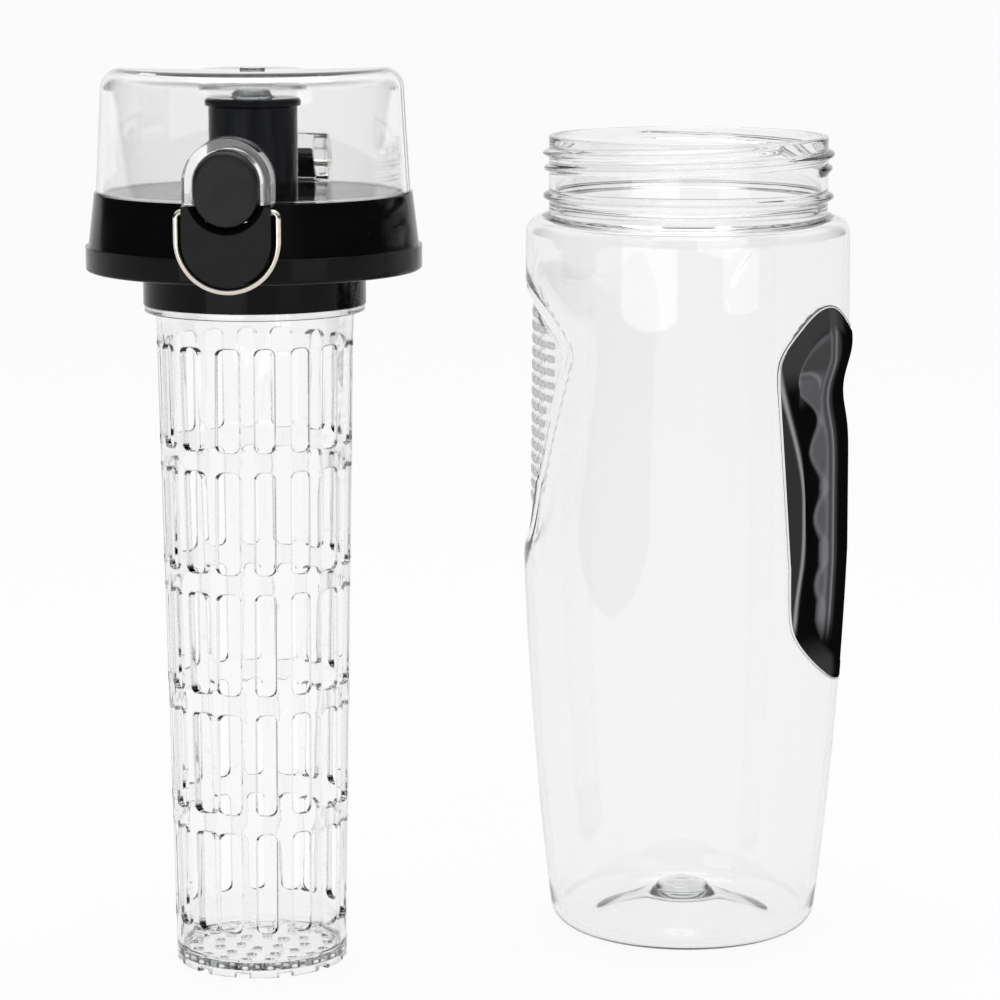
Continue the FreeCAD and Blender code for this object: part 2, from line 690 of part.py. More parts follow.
def lid_base():
    """The black lid: deck, threaded skirt, latch boss in front and hinge post behind."""
    body = new_body("lid_base")
    turned(body, [
        ("spout_radius + seat_gap", "-deck_thickness"),
        ("lid_seal_inner - seat_gap", "-deck_thickness"),
        ("lid_seal_inner - seat_gap", "lid_seal_sink - deck_thickness"),
        ("lid_seal_outer + seat_gap", "lid_seal_sink - deck_thickness"),
        ("lid_seal_outer + seat_gap", "-deck_thickness"),
        (LID_BORE, "-deck_thickness"),
        (LID_BORE, "-lid_height"),
        ("lid_band_radius - lid_edge_round", "-lid_height", "left", "lid_edge_round"),
        ("lid_band_radius", "lid_edge_round - lid_height"),
        ("lid_band_radius", "lid_band_height - lid_height"),
        ("lid_low_radius", "lid_band_height - lid_height"),
        ("lid_top_radius", "0"),
        ("spout_radius + seat_gap", "0"),
    ])
    boss = new_sketch(body, "XZ_Plane", LID_BORE)
    low = "(boss_half - lid_height)"
    outline(boss, [
        ("-boss_half", "0"),
        ("-boss_half", low, "left", "boss_half"),
        ("0", "-lid_height", "left", "boss_half"),
        ("boss_half", low),
        ("boss_half", "0"),
    ])
    pad(body, boss, "boss_front - " + LID_BORE)
    socket = new_sketch(body, "XZ_Plane", "boss_front + run_gap")
    outline(socket, button_outline("socket_gap"))
    cut = pocket(body, socket, "button_thick + button_room - button_proud + run_gap")
    doc.recompute()
    front = -size("boss_front")
    rim = ["Edge%d" % (number + 1) for number, edge in enumerate(cut.Shape.Edges)
           if all(abs(vertex.Point.y - front) < size("seat_gap") for vertex in edge.Vertexes)
           and isinstance(edge.Curve, Part.Circle)
           and edge.Curve.Radius < size("button_half + socket_gap * 2")]
    bevel = body.newObject("PartDesign::Chamfer", "socket_rim")
    bevel.Base = (cut, rim)
    bevel.setExpression("Size", bound("socket_bevel"))
    post = new_sketch(body, "YZ_Plane")
    outline(post, [
        (LID_BORE + " + seat_gap", "0"),
        (LID_BORE + " + seat_gap", "-post_drop"),
        ("lid_low_radius + post_foot", "-post_drop"),
        ("hinge_back + barrel_radius", "hinge_height - barrel_radius - post_toe"),
        ("hinge_back + barrel_radius", "hinge_height", "left", "barrel_radius"),
        ("hinge_back", "hinge_height + barrel_radius", "left", "barrel_radius"),
        ("hinge_back - barrel_radius", "hinge_height"),
        ("hinge_back - barrel_radius", "0"),
    ])
    pad(body, post, "post_half * 2", both_ways=True)
    gap = new_sketch(body, "YZ_Plane")
    outline(gap, [
        ("hinge_back - barrel_radius - run_gap", "hinge_height - barrel_radius"),
        ("hinge_back + barrel_radius + run_gap", "hinge_height - barrel_radius"),
        ("hinge_back + barrel_radius + run_gap", "hinge_height + barrel_radius + run_gap"),
        ("hinge_back - barrel_radius - run_gap", "hinge_height + barrel_radius + run_gap"),
    ])
    pocket(body, gap, "spring_half * 2", both_ways=True)
    cross_hole(body, "hinge_back", "hinge_height", "pin_radius + pin_gap", "post_half * 3")
    cross_hole(body, "-bail_front", "-bail_drop", "bail_wire_radius + pin_gap",
               "boss_half * 3")
    cross_hole(body, "-latch_pin_front", "-latch_pin_drop", "latch_pin_radius + pin_gap",
               "latch_pin_half * 2 + run_gap")
    return on_lid(body)


def lid_seal():
    """The silicone ring in the deck's groove; it presses on the collar's lip."""
    return on_lid(band("lid_seal", "lid_seal_inner", "lid_seal_outer", "-" + LID_SEAL_LOW,
                       "lid_seal_sink - deck_thickness - seat_gap"))


def spout():
    """The drinking spout, clipped through the deck."""
    body = new_body("spout")
    bore = "(spout_radius - spout_wall)"
    low = "(-deck_thickness - seat_gap)"
    rim = "(spout_height - spout_rim_height)"
    turned(body, [
        (bore, low + " - spout_foot_height"),
        ("spout_foot_radius", low + " - spout_foot_height"),
        ("spout_foot_radius", low),
        ("spout_radius", low),
        ("spout_radius", rim),
        ("spout_rim_radius", rim + " + rim_round"),
        ("spout_rim_radius", "spout_height - rim_round * 2", "left", "rim_round * 2"),
        ("spout_rim_radius - rim_round * 2", "spout_height"),
        ("spout_mouth", "spout_height"),
        ("spout_mouth", "spout_height - spout_roof"),
        (bore, "spout_height - spout_roof - spout_wall"),
    ])
    return on_lid(body)


def rod(name, radius, half, back, up):
    """A round pin along X."""
    body = new_body(name)
    sketch = new_sketch(body, "YZ_Plane")
    ring_line(sketch, back, up, radius)
    pad(body, sketch, "(%s) * 2" % half, both_ways=True)
    return on_lid(body)


def hinge_pin():
    """The steel pin through post and lugs."""
    return rod("hinge_pin", "pin_radius", "post_half + run_gap + lug_thick", "hinge_back",
               "hinge_height")


def latch_pin():
    """The steel pin that the button rocks on."""
    return rod("latch_pin", "latch_pin_radius", "latch_pin_half", "-latch_pin_front",
               "-latch_pin_drop")


def coil_points(start, along, radius, length, turns):
    """Points on a helix from a start point on its axis, eight to the turn."""
    first = FreeCAD.Vector(0, 0, 1).cross(along)
    second = along.cross(first)
    count = int(turns * 8) + 1
    return [start + along * (length * step / (count - 1))
            + first * (radius * math.cos(math.pi * step / 4))
            + second * (radius * math.sin(math.pi * step / 4)) for step in range(count)]


def wire_solid(edges, radius):
    """A round wire along a chain of edges."""
    path = Part.Wire(edges)
    start = edges[0].valueAt(edges[0].FirstParameter)
    along = edges[0].tangentAt(edges[0].FirstParameter)
    section = Part.Wire([Part.makeCircle(radius, start, along)])
    return path.makePipeShell([section], True, False)


def coil_edges(points):
    """Quarter-turn arcs through the points of a helix."""
    return [Part.Arc(points[step], points[step + 1], points[step + 2]).toShape()
            for step in range(0, len(points) - 2, 2)]


def tell_gap(name, points, wire):
    """Prints the least air between the turns of a coil, from points half a turn apart or more."""
    half_turn = 4
    nearest = min(spot.distanceToPoint(other) for index, spot in enumerate(points)
                  for other in points[index + half_turn:])
    print("%-15s least gap between turns %.2f" % (name, nearest - wire * 2))


def placed_wire(name, shape):
    """A wire piece of the lid as an object of the document."""
    item = doc.addObject("Part::Feature", name)
    item.Shape = shape
    return on_lid(item)


def hinge_spring():
    """The torsion spring round the hinge pin, both legs down in the post."""
    turns = 5.5
    wire = size("spring_wire_radius")
    length = (size("spring_half") - wire * 2) * 2
    start = FreeCAD.Vector(-length / 2, size("hinge_back"), size("hinge_height"))
    points = coil_points(start, FreeCAD.Vector(1, 0, 0), size("spring_coil_radius"), length,
                         turns)
    tell_gap("hinge_spring", points, wire)
    leg = FreeCAD.Vector(0, 0, -size("spring_leg"))
    edges = [Part.makeLine(points[0] + leg, points[0])] + coil_edges(points)
    edges.append(Part.makeLine(points[-1], points[-1] + leg))
    return placed_wire("hinge_spring", wire_solid(edges, wire))


def latch_spring():
    """The small coil between the bore in the button's back and the socket's end."""
    turns = 4
    wire = size("latch_wire_radius")
    length = size("latch_bore_depth + button_room - run_gap - seat_gap") - wire * 2
    start = FreeCAD.Vector(0, -size(BUTTON_BACK + " + latch_bore_depth - run_gap") + wire,
                           -size("latch_coil_drop"))
    points = coil_points(start, FreeCAD.Vector(0, 1, 0), size("latch_coil_radius"), length,
                         turns)
    tell_gap("latch_spring", points, wire)
    return placed_wire("latch_spring", wire_solid(coil_edges(points), wire))


def latch_button():
    """The black push button that rocks inwards on its pin."""
    body = new_body("latch_button")
    face = new_sketch(body, "XZ_Plane", BUTTON_BACK)
    outline(face, button_outline("0"))
    block = pad(body, face, "button_thick")
    doc.recompute()
    front = -size("boss_front + button_proud")
    round_edges(body, block, lambda edge: all(
        abs(vertex.Point.y - front) < size("seat_gap") for vertex in edge.Vertexes),
        "button_round")
    cross_hole(body, "-latch_pin_front", "-latch_pin_drop", "latch_pin_radius + pin_gap",
               "boss_half * 2")
    bore = new_sketch(body, "XZ_Plane", BUTTON_BACK)
    ring_line(bore, "0", "-latch_coil_drop",
              "latch_coil_radius + latch_wire_radius + run_gap")
    pocket(body, bore, "latch_bore_depth", reverse=True)
    return on_lid(body)


def lock_bail():
    """The steel wire loop that swings up over the hood to lock the cover."""
    wire = size("bail_wire_radius")
    half = size("bail_half")
    bend = size("bail_bend")
    leg = size("bail_leg")
    stub = size("bail_stub")
    slant = math.sqrt(0.5)

    def spot(across, down):
        return FreeCAD.Vector(across, -size("bail_front"), -size("bail_drop") - down)

    edges = [
        Part.makeLine(spot(-stub, 0), spot(bend - half, 0)),
        Part.Arc(spot(bend - half, 0), spot((1 - slant) * bend - half, (1 - slant) * bend),
                 spot(-half, bend)).toShape(),
        Part.makeLine(spot(-half, bend), spot(-half, leg)),
        Part.Arc(spot(-half, leg), spot(0, leg + half), spot(half, leg)).toShape(),
        Part.makeLine(spot(half, leg), spot(half, bend)),
        Part.Arc(spot(half, bend), spot(half - (1 - slant) * bend, (1 - slant) * bend),
                 spot(half - bend, 0)).toShape(),
        Part.makeLine(spot(half - bend, 0), spot(stub, 0)),
    ]
    return placed_wire("lock_bail", wire_solid(edges, wire))


# Flip cover


def cover_dome():
    """The clear cover: domed shell, arched hood over the button, hinge lugs behind."""
    body = new_body("cover_dome")
    top = "(cover_height - cover_corner)"
    inner = "(cover_corner - cover_wall)"
    turned(body, [
        ("cover_radius - cover_wall", "run_gap"),
        ("cover_radius", "run_gap"),
        ("cover_top_radius", top, "left", "cover_corner"),
        ("cover_top_radius - cover_corner", "cover_height"),
        ("gate_radius", "cover_height - cover_dish"),
        ("gate_radius", "cover_height - cover_dish + gate_height"),
        ("0", "cover_height - cover_dish + gate_height"),
        ("0", "cover_height - cover_wall - cover_dish"),
        ("seat_ring_radius - cover_wall / 2", "cover_height - cover_wall - cover_dish"),
        ("seat_ring_radius - cover_wall / 2", "cover_height - cover_wall - seat_ring_height"),
        ("seat_ring_radius", "cover_height - cover_wall - seat_ring_height"),
        ("seat_ring_radius", "cover_height - cover_wall - cover_dish"),
        ("cover_top_radius - cover_corner", "cover_height - cover_wall", "right", inner),
        ("cover_top_radius - cover_wall", top),
    ])
    hood = new_sketch(body, "XZ_Plane", "hood_back")
    half = "(button_half + socket_gap + hood_wall)"
    outline(hood, [
        ("-" + half, "run_gap"),
        (half, "run_gap"),
        (half, "button_arch", "left", half),
        ("0", "button_arch + " + half, "left", half),
        ("-" + half, "button_arch"),
    ])
    pad(body, hood, "hood_front - hood_back")
    tunnel = new_sketch(body, "XZ_Plane", "hood_front + run_gap")
    bore = "(button_half + socket_gap)"
    outline(tunnel, [
        ("-" + bore, "-run_gap"),
        (bore, "-run_gap"),
        (bore, "button_arch", "left", bore),
        ("0", "button_arch + " + bore, "left", bore),
        ("-" + bore, "button_arch"),
    ])
    pocket(body, tunnel, "hood_front - hood_back + cover_wall + run_gap")
    lug = new_sketch(body, "YZ_Plane")
    root = "(cover_radius - cover_wall * 2)"
    outline(lug, [
        (root, "hinge_height - barrel_radius"),
        ("hinge_back", "hinge_height - barrel_radius", "left", "barrel_radius"),
        ("hinge_back + barrel_radius", "hinge_height", "left", "barrel_radius * 3"),
        ("cover_radius - cover_wall / 2", "lug_height"),
        (root, "lug_height"),
    ])
    pad(body, lug, "(post_half + run_gap + lug_thick) * 2", both_ways=True)
    between = new_sketch(body, "YZ_Plane")
    outline(between, [
        ("cover_radius + run_gap", "-run_gap"),
        ("hinge_back + barrel_radius * 2", "-run_gap"),
        ("hinge_back + barrel_radius * 2", "lug_height + run_gap"),
        ("cover_radius + run_gap", "lug_height + run_gap"),
    ])
    pocket(body, between, "(post_half + run_gap) * 2", both_ways=True)
    cross_hole(body, "hinge_back", "hinge_height", "pin_radius + pin_gap", "cover_radius")
    return on_lid(body)


def spout_seal():
    """The frosted silicone plug under the dome; it closes the spout."""
    body = new_body("spout_seal")
    high = "(cover_height - cover_wall - cover_dish - seat_gap)"
    turned(body, [
        ("0", "spout_height - plug_reach"),
        ("plug_tip_radius", "spout_height - plug_reach"),
        ("plug_radius", "spout_height + run_gap"),
        ("plug_neck_radius", high + " - seal_thickness"),
        ("seal_radius", high + " - seal_thickness"),
        ("seal_radius", high),
        ("0", high),
    ])
    return on_lid(body)


pieces = [
    stand(bottle_shell(), turn="bottle_turn", beside=False),
    stand(right_grip(), turn="bottle_turn", beside=False),
    infuser_basket(),
    collar(),
    collar_seal(),
    lid_base(),
    lid_seal(),
    spout(),
    hinge_pin(),
    hinge_spring(),
    latch_pin(),
    latch_spring(),
    latch_button(),
    lock_bail(),
    cover_dome(),
    spout_seal(),
]
doc.recompute()

for item in doc.Objects:
    if "Invalid" in item.State or "Error" in item.State:
        raise RuntimeError("%s did not build: %s" % (item.Name, item.State))

os.makedirs("parts", exist_ok=True)
for piece in pieces:
    shape = piece.Shape
    if shape.isNull() or not shape.isValid() or len(shape.Solids) != 1:
        raise RuntimeError("%s is not one sound solid" % piece.Label)
    shape.exportStep("parts/%s.step" % piece.Label)
    box = shape.BoundBox
    print("%-15s volume %9.1f  x %.2f to %.2f  y %.2f to %.2f  z %.2f to %.2f" % (
        piece.Label, shape.Volume, box.XMin, box.XMax, box.YMin, box.YMax, box.ZMin, box.ZMax))
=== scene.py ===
"""Dresses the fruit infuser water bottle: the open bottle with its rubber grip, and beside it the
infuser basket with its collar and flip-top lid.

Sizes are written in millimetres and turned into metres where a mesh is made. The bottle's base
centre is the origin, Z points up and the camera looks along +Y.
"""
from __future__ import annotations

import logging
import math
from dataclasses import dataclass, field
from enum import Enum
from typing import Any, Sequence

import bmesh
import bpy
import numpy as np
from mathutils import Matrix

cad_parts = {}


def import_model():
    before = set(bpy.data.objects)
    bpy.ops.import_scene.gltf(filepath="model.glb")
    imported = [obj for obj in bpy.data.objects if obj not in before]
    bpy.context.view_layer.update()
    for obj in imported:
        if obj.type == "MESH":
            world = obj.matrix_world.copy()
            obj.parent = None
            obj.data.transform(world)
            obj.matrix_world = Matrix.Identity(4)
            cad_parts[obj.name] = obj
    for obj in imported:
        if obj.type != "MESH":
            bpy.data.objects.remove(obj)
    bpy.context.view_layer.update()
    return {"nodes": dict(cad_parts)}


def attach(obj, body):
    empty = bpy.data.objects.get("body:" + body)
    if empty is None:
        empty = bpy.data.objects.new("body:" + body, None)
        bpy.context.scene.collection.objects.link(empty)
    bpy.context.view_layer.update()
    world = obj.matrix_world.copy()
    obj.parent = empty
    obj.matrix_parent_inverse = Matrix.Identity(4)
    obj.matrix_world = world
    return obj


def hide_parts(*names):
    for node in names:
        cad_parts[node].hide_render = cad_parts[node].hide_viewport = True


LOG = logging.getLogger("infuser_bottle")
MM = 0.001
MERGE_MM = 0.0005
FULL_TURN = 2.0 * math.pi
# Sockets of a colour mix: its two colours and its result.
MIX_A, MIX_B, MIX_OUT = 6, 7, 2
# Where nearly all values of a noise pattern lie.
NOISE_RANGE = (0.3, 0.7)

Array = np.ndarray
Material = bpy.types.Material
Node = bpy.types.Node
Piece = bpy.types.Object
Socket = bpy.types.NodeSocket
Tree = bpy.types.NodeTree
Point = tuple[float, float]
Place = tuple[float, float, float]


class Hand(Enum):
    """Which way a profile line bends on its way from one point to the next."""

    LEFT = 1
    RIGHT = -1


class Side(Enum):
    """The two sides of the bottle that carry a grip recess."""

    RIGHT = 1
    LEFT = -1


# Small helpers


def linear(code: str) -> tuple[float, float, float, float]:
    """Turns an sRGB hex colour into linear light.

    Args:
        code: The colour as #rrggbb.

    Returns:
        Red, green, blue and an alpha of one.
    """
    share = np.array([int(code[at:at + 2], 16) for at in (1, 3, 5)]) / 255.0
    light = np.where(share <= 0.04045, share / 12.92, ((share + 0.055) / 1.055) ** 2.4)
    return (float(light[0]), float(light[1]), float(light[2]), 1.0)


def add_node(tree: Tree, kind: str, values: dict[Any, Any] | None = None,
             links: dict[Any, Socket] | None = None, **settings: Any) -> Node:
    """Adds one shader node with its settings, socket values and links.

    Args:
        tree: The node tree that gets the node.
        kind: The node's type name.
        values: Constant values by input name or number.
        links: Output sockets by the input name or number that they feed.
        settings: Properties of the node itself.

    Returns:
        The new node.
    """
    node = tree.nodes.new(kind)
    for name, value in settings.items():
        setattr(node, name, value)
    for name, value in (values or {}).items():
        node.inputs[name].default_value = value
    for name, source in (links or {}).items():
        tree.links.new(source, node.inputs[name])
    return node


def ease(low: float | Array, high: float | Array, value: Array) -> Array:
    """The smooth step from 0 at low to 1 at high: 3t^2 - 2t^3 of the clipped share t."""
    share = np.clip((value - low) / (high - low), 0.0, 1.0)
    return share * share * (3.0 - 2.0 * share)


def ease_near(place: float | Array, zone: Point, value: Array) -> Array:
    """The smooth step over a zone whose start and end are measured from a place."""
    return ease(place + zone[0], place + zone[1], value)


def soft_least(first: Array, second: Array, sharpness: float) -> Array:
    """A least value with a rounded corner: -log(exp(-ka) + exp(-kb)) / k."""
    return -np.logaddexp(-sharpness * first, -sharpness * second) / sharpness


def joined(*runs: Array) -> Array:
    """Runs of a profile as one line; each starts on the last point of the one before."""
    return np.concatenate([run[:-1] for run in runs[:-1]] + [runs[-1]])


def straight(stops: Sequence[float | Point], counts: Sequence[int]) -> Array:
    """Even points on the straight runs between stops, with the count of each run."""
    return joined(*[np.linspace(*ends, count)
                    for *ends, count in zip(stops, stops[1:], counts)])


def bend(start: Point, end: Point, radius: float, hand: Hand, count: int) -> Array:
    """Even points on a circular run of a profile.

    The centre lies on the chord's middle normal, at sqrt(radius^2 - half chord^2) to the hand's
    side; the points turn about it from the start angle to the end angle.

    Args:
        start: First point, radius and height.
        end: Last point.
        radius: Radius of the run.
        hand: The side that the run turns to.
        count: How many points.

    Returns:
        The points as an array of radius and height.
    """
    first, last = np.array(start), np.array(end)
    chord = last - first
    reach = math.sqrt(max(radius ** 2 - float(chord @ chord) / 4.0, 0.0))
    normal = np.array([-chord[1], chord[0]]) / np.linalg.norm(chord)
    centre = (first + last) / 2.0 + normal * (reach * hand.value)
    angles = [math.atan2(spot[1] - centre[1], spot[0] - centre[0]) for spot in (first, last)]
    sweep = (angles[1] - angles[0]) * hand.value % FULL_TURN * hand.value
    turn = angles[0] + np.linspace(0.0, sweep, count)
    return centre + radius * np.stack([np.cos(turn), np.sin(turn)], axis=1)


def softened(points: Array) -> Array:
    """Averages a profile's inner points with their neighbours: a quarter, a half, a quarter."""
    inner = points[:-2] * 0.25 + points[1:-1] * 0.5 + points[2:] * 0.25
    return np.concatenate([points[:1], inner, points[-1:]])


def unit(vectors: Array) -> Array:
    """Vectors scaled to the length one."""
    return vectors / np.linalg.norm(vectors, axis=-1, keepdims=True)


def course(line: Array) -> Array:
    """The way from each point's neighbour before to the one after, on a closed line."""
    return np.roll(line, -1, axis=0) - np.roll(line, 1, axis=0)


def grid_piece(name: str, points: Array, finish: Material, closed: bool = True,
               painted_light: Array | None = None) -> Piece:
    """Makes a smooth mesh object of grids of points, its poles merged and its faces outwards.

    Each point is joined to the next in its row and to the one in the next row; the last column
    is joined to the first. A row whose points coincide closes as a pole.

    Args:
        name: The piece's name.
        points: Rows by columns by three, in millimetres; a leading axis counts grids.
        finish: The piece's material.
        closed: Whether the columns go all the way round.
        painted_light: A value per point of painted light, kept as the attribute "painted_light", or
            none.

    Returns:
        The linked object, at the origin.
    """
    rows, columns = points.shape[-3:-1]
    index = np.arange(rows * columns).reshape(rows, columns)
    right = np.roll(index, -1, axis=1)
    quads = np.stack([index[:-1], right[:-1], right[1:], index[1:]], axis=-1)
    if not closed:
        quads = quads[:, :-1]
    starts = np.arange(0, points.size // 3, rows * columns)
    quads = (quads.reshape(-1, 4) + starts[:, None, None]).reshape(-1, 4)
    mesh = bpy.data.meshes.new(name)
    mesh.from_pydata((points.reshape(-1, 3) * MM).tolist(), [], quads.tolist())
    # Stores the painted light, which paints highlights and shade into a material's colour.
    if painted_light is not None:
        mesh.attributes.new("painted_light", "FLOAT", "POINT").data.foreach_set("value", painted_light.ravel())
    work = bmesh.new()
    work.from_mesh(mesh)
    bmesh.ops.remove_doubles(work, verts=work.verts, dist=MERGE_MM * MM)
    bmesh.ops.recalc_face_normals(work, faces=work.faces)
    work.to_mesh(mesh)
    work.free()
    mesh.shade_smooth()
    mesh.materials.append(finish)
    piece = bpy.data.objects.new(name, mesh)
    bpy.context.scene.collection.objects.link(piece)
    return piece


@dataclass(frozen=True)
class Bump:
    """A bell-shaped rise: its height, its half width and its middle."""

    height: float
    half: float
    middle: float = 0.0

    def over(self, value: Array) -> Array:
        """The rise at each value: height * exp(-((value - middle) / half)^2)."""
        return self.height * np.exp(-((value - self.middle) / self.half) ** 2)


# Finishes


@dataclass(frozen=True)
class Finish:
    """What every finish has: a colour, a wandering roughness and a fine relief.

    Attributes:
        name: Material name, the real material and how it was made.
        colour: Base colour as sRGB hex.
        roughness: Mean roughness.
        spread: How far the roughness wanders to each side.
        patch: Size of the patches in which it wanders.
        grain: Size of the relief's features, drawn coarser than the real ones.
        depth: Height of the relief.
        edge: Radius to which sharp moulded edges are seen rounded.
        detail: Number of finer layers of the relief.
        drawn: How much the relief is drawn out along each axis.
    """

    name: str
    colour: str
    roughness: float
    spread: float = 0.03
    patch: float = 9.0
    grain: float = 0.5
    depth: float = 0.01
    edge: float = 0.0
    detail: float = 2.0
    drawn: Place = (1.0, 1.0, 1.0)

    def material(self) -> Material:
        """Builds the material: a principled shader whose roughness wanders in soft patches, as on
        any handled moulding, with the relief and with what shade() adds.

        Returns:
            The material.
        """
        material = bpy.data.materials.new(self.name)
        material.use_nodes = True
        tree = material.node_tree
        shader = tree.nodes["Principled BSDF"]
        shader.inputs["Base Color"].default_value = linear(self.colour)
        rough = add_node(tree, "ShaderNodeMapRange",
                         {"From Min": NOISE_RANGE[0], "From Max": NOISE_RANGE[1],
                          "To Min": max(self.roughness - self.spread, 0.0),
                          "To Max": self.roughness + self.spread},
                         {"Value": self.noise(tree, self.patch)})
        bump = add_node(tree, "ShaderNodeBump", {"Strength": 1.0, "Distance": self.depth * MM},
                        {"Height": self.noise(tree, self.grain, self.detail, self.drawn)})
        if self.edge:
            rounded = add_node(tree, "ShaderNodeBevel", {"Radius": self.edge * MM}, samples=4)
            tree.links.new(rounded.outputs["Normal"], bump.inputs["Normal"])
        tree.links.new(rough.outputs["Result"], shader.inputs["Roughness"])
        tree.links.new(bump.outputs["Normal"], shader.inputs["Normal"])
        self.shade(tree, shader)
        return material

    def shade(self, tree: Tree, shader: Node) -> None:
        """What a kind of finish adds to the principled shader of a material's tree: nothing."""

    def noise(self, tree: Tree, size: float, detail: float = 2.0,
              stretch: Place = (1.0, 1.0, 1.0)) -> Socket:
        """A noise pattern on the piece's own coordinates.

        Args:
            tree: The material's tree.
            size: Size of one patch in millimetres.
            detail: Number of finer layers.
            stretch: How much the pattern is drawn out along each axis.

        Returns:
            The pattern's value socket.
        """
        place = add_node(tree, "ShaderNodeTexCoord").outputs["Object"]
        drawn = add_node(tree, "ShaderNodeMapping", {"Scale": [1.0 / part for part in stretch]},
                         {"Vector": place})
        return add_node(tree, "ShaderNodeTexNoise", {"Scale": 1.0 / (size * MM), "Detail": detail},
                        {"Vector": drawn.outputs["Vector"]}).outputs["Fac"]


@dataclass(frozen=True)
class ClearPlastic(Finish):
    """Clear copolyester: polished, with the faint slow waves of a moulded wall.

    Attributes:
        index: Refractive index.
        depth_tint: What is left of white light that runs far inside the plastic.
        density: How fast it takes on that tint, per metre.
    """

    grain: float = 30.0
    depth: float = 0.03
    detail: float = 1.0
    index: float = 1.55
    depth_tint: str = "#d2d4d4"
    density: float = 20.0

    def shade(self, tree: Tree, shader: Node) -> None:
        """Lets light through, bent by the gloss and tinted by its way inside.

        Args:
            tree: The material's tree.
            shader: Its principled shader.
        """
        shader.inputs["Transmission Weight"].default_value = 1.0
        shader.inputs["IOR"].default_value = self.index
        inside = add_node(tree, "ShaderNodeVolumeAbsorption",
                          {"Color": linear(self.depth_tint), "Density": self.density})
        tree.links.new(inside.outputs[0], tree.nodes["Material Output"].inputs["Volume"])


@dataclass(frozen=True)
class MouldedPlastic(Finish):
    """Black polypropylene from a polished mould: deep gloss, faint flow marks, soft edges.

    Attributes:
        second: Colour of the flow marks.
        flow: Length of the flow marks in millimetres.
        flow_drawn: How much they are drawn out along each axis.
        mirror: Specular level; half is that of a plain plastic of index 1.5.
    """

    grain: float = 0.7
    depth: float = 0.003
    edge: float = 0.35
    second: str = "#1c1c1e"
    flow: float = 14.0
    flow_drawn: Place = (1.0, 1.0, 0.5)
    mirror: float = 0.1

    def shade(self, tree: Tree, shader: Node) -> None:
        """Lays flow marks into the colour.

        Args:
            tree: The material's tree.
            shader: Its principled shader.
        """
        shader.inputs["Specular IOR Level"].default_value = self.mirror
        blend = add_node(tree, "ShaderNodeMix",
                         {MIX_A: linear(self.colour), MIX_B: linear(self.second)},
                         {0: self.noise(tree, self.flow, 3.0, self.flow_drawn)},
                         data_type="RGBA")
        tree.links.new(blend.outputs[MIX_OUT], shader.inputs["Base Color"])


@dataclass(frozen=True)
class PaintedLightRubber(MouldedPlastic):
    """Black rubber with light and shade painted into its colour: the finger channels stay deep
    black as painted shade, while lobes, crests and rims take a painted grey highlight. The mesh's
    painted light says where.

    Attributes:
        painted_highlight: Colour of the painted highlights.
    """

    # Grey of the painted highlights; the channels keep the black as painted shade.
    painted_highlight: str = "#b4b4b7"

    def shade(self, tree: Tree, shader: Node) -> None:
        """Paints highlights: lets the moulding's colour go from black to grey with the piece's
        painted light.

        Args:
            tree: The material's tree.
            shader: Its principled shader.
        """
        super().shade(tree, shader)
        black = shader.inputs["Base Color"].links[0].from_socket
        # The painted light attribute mixes the painted highlight grey into the black.
        painted_light = add_node(tree, "ShaderNodeAttribute", attribute_name="painted_light")
        mixed = add_node(tree, "ShaderNodeMix", {MIX_B: linear(self.painted_highlight)},
                         {0: painted_light.outputs["Fac"], MIX_A: black}, data_type="RGBA")
        tree.links.new(mixed.outputs[MIX_OUT], shader.inputs["Base Color"])


@dataclass(frozen=True)
class FrostedSilicone(Finish):
    """Moulded silicone without pigment: milky, matt, light passes but does not stay sharp.

    Attributes:
        through: Share of light that passes.
        index: Refractive index.
    """

    through: float = 0.6
    index: float = 1.41

    def shade(self, tree: Tree, shader: Node) -> None:
        """Lets part of the light through."""
        shader.inputs["Transmission Weight"].default_value = self.through
        shader.inputs["IOR"].default_value = self.index


@dataclass(frozen=True)
class DrawnSteel(Finish):
    """Bright stainless wire: fine lines along the draw, neutral reflections."""

    grain: float = 0.12
    depth: float = 0.002
    drawn: Place = (12.0, 1.0, 12.0)

    def shade(self, tree: Tree, shader: Node) -> None:
        """Makes the shader a metal's."""
        shader.inputs["Metallic"].default_value = 1.0


BOTTLE_PLASTIC = ClearPlastic("copolyester_blow_moulded", "#fefefe", 0.012, 0.01, 40.0,
                              index=1.43, density=60.0)
INFUSER_PLASTIC = ClearPlastic("copolyester_injection_moulded", "#fefefe", 0.015, 0.01, 12.0,
                               grain=14.0, depth=0.012, edge=0.5, density=60.0)
COVER_PLASTIC = ClearPlastic("copolyester_cover_moulded", "#fefefe", 0.01, 0.008, 25.0,
                             grain=24.0, depth=0.012, edge=0.5)
RIB_PLASTIC = ClearPlastic("copolyester_satin_ribs", "#c4c6c8", 0.32, 0.05, 2.0, grain=1.5,
                           depth=0.01, density=0.0)
BLACK_PLASTIC = MouldedPlastic("polypropylene_black_polished", "#09090a", 0.09, 0.03, 7.0,
                               second="#111113")
BUTTON_PLASTIC = MouldedPlastic("polypropylene_black_satin", "#1a1a1c", 0.36, 0.05, 5.0,
                                second="#222225", grain=0.45, depth=0.006, mirror=0.3)
SPOUT_PLASTIC = MouldedPlastic("polypropylene_blue_black", "#10121a", 0.14, 0.03, 7.0,
                               second="#171a22")
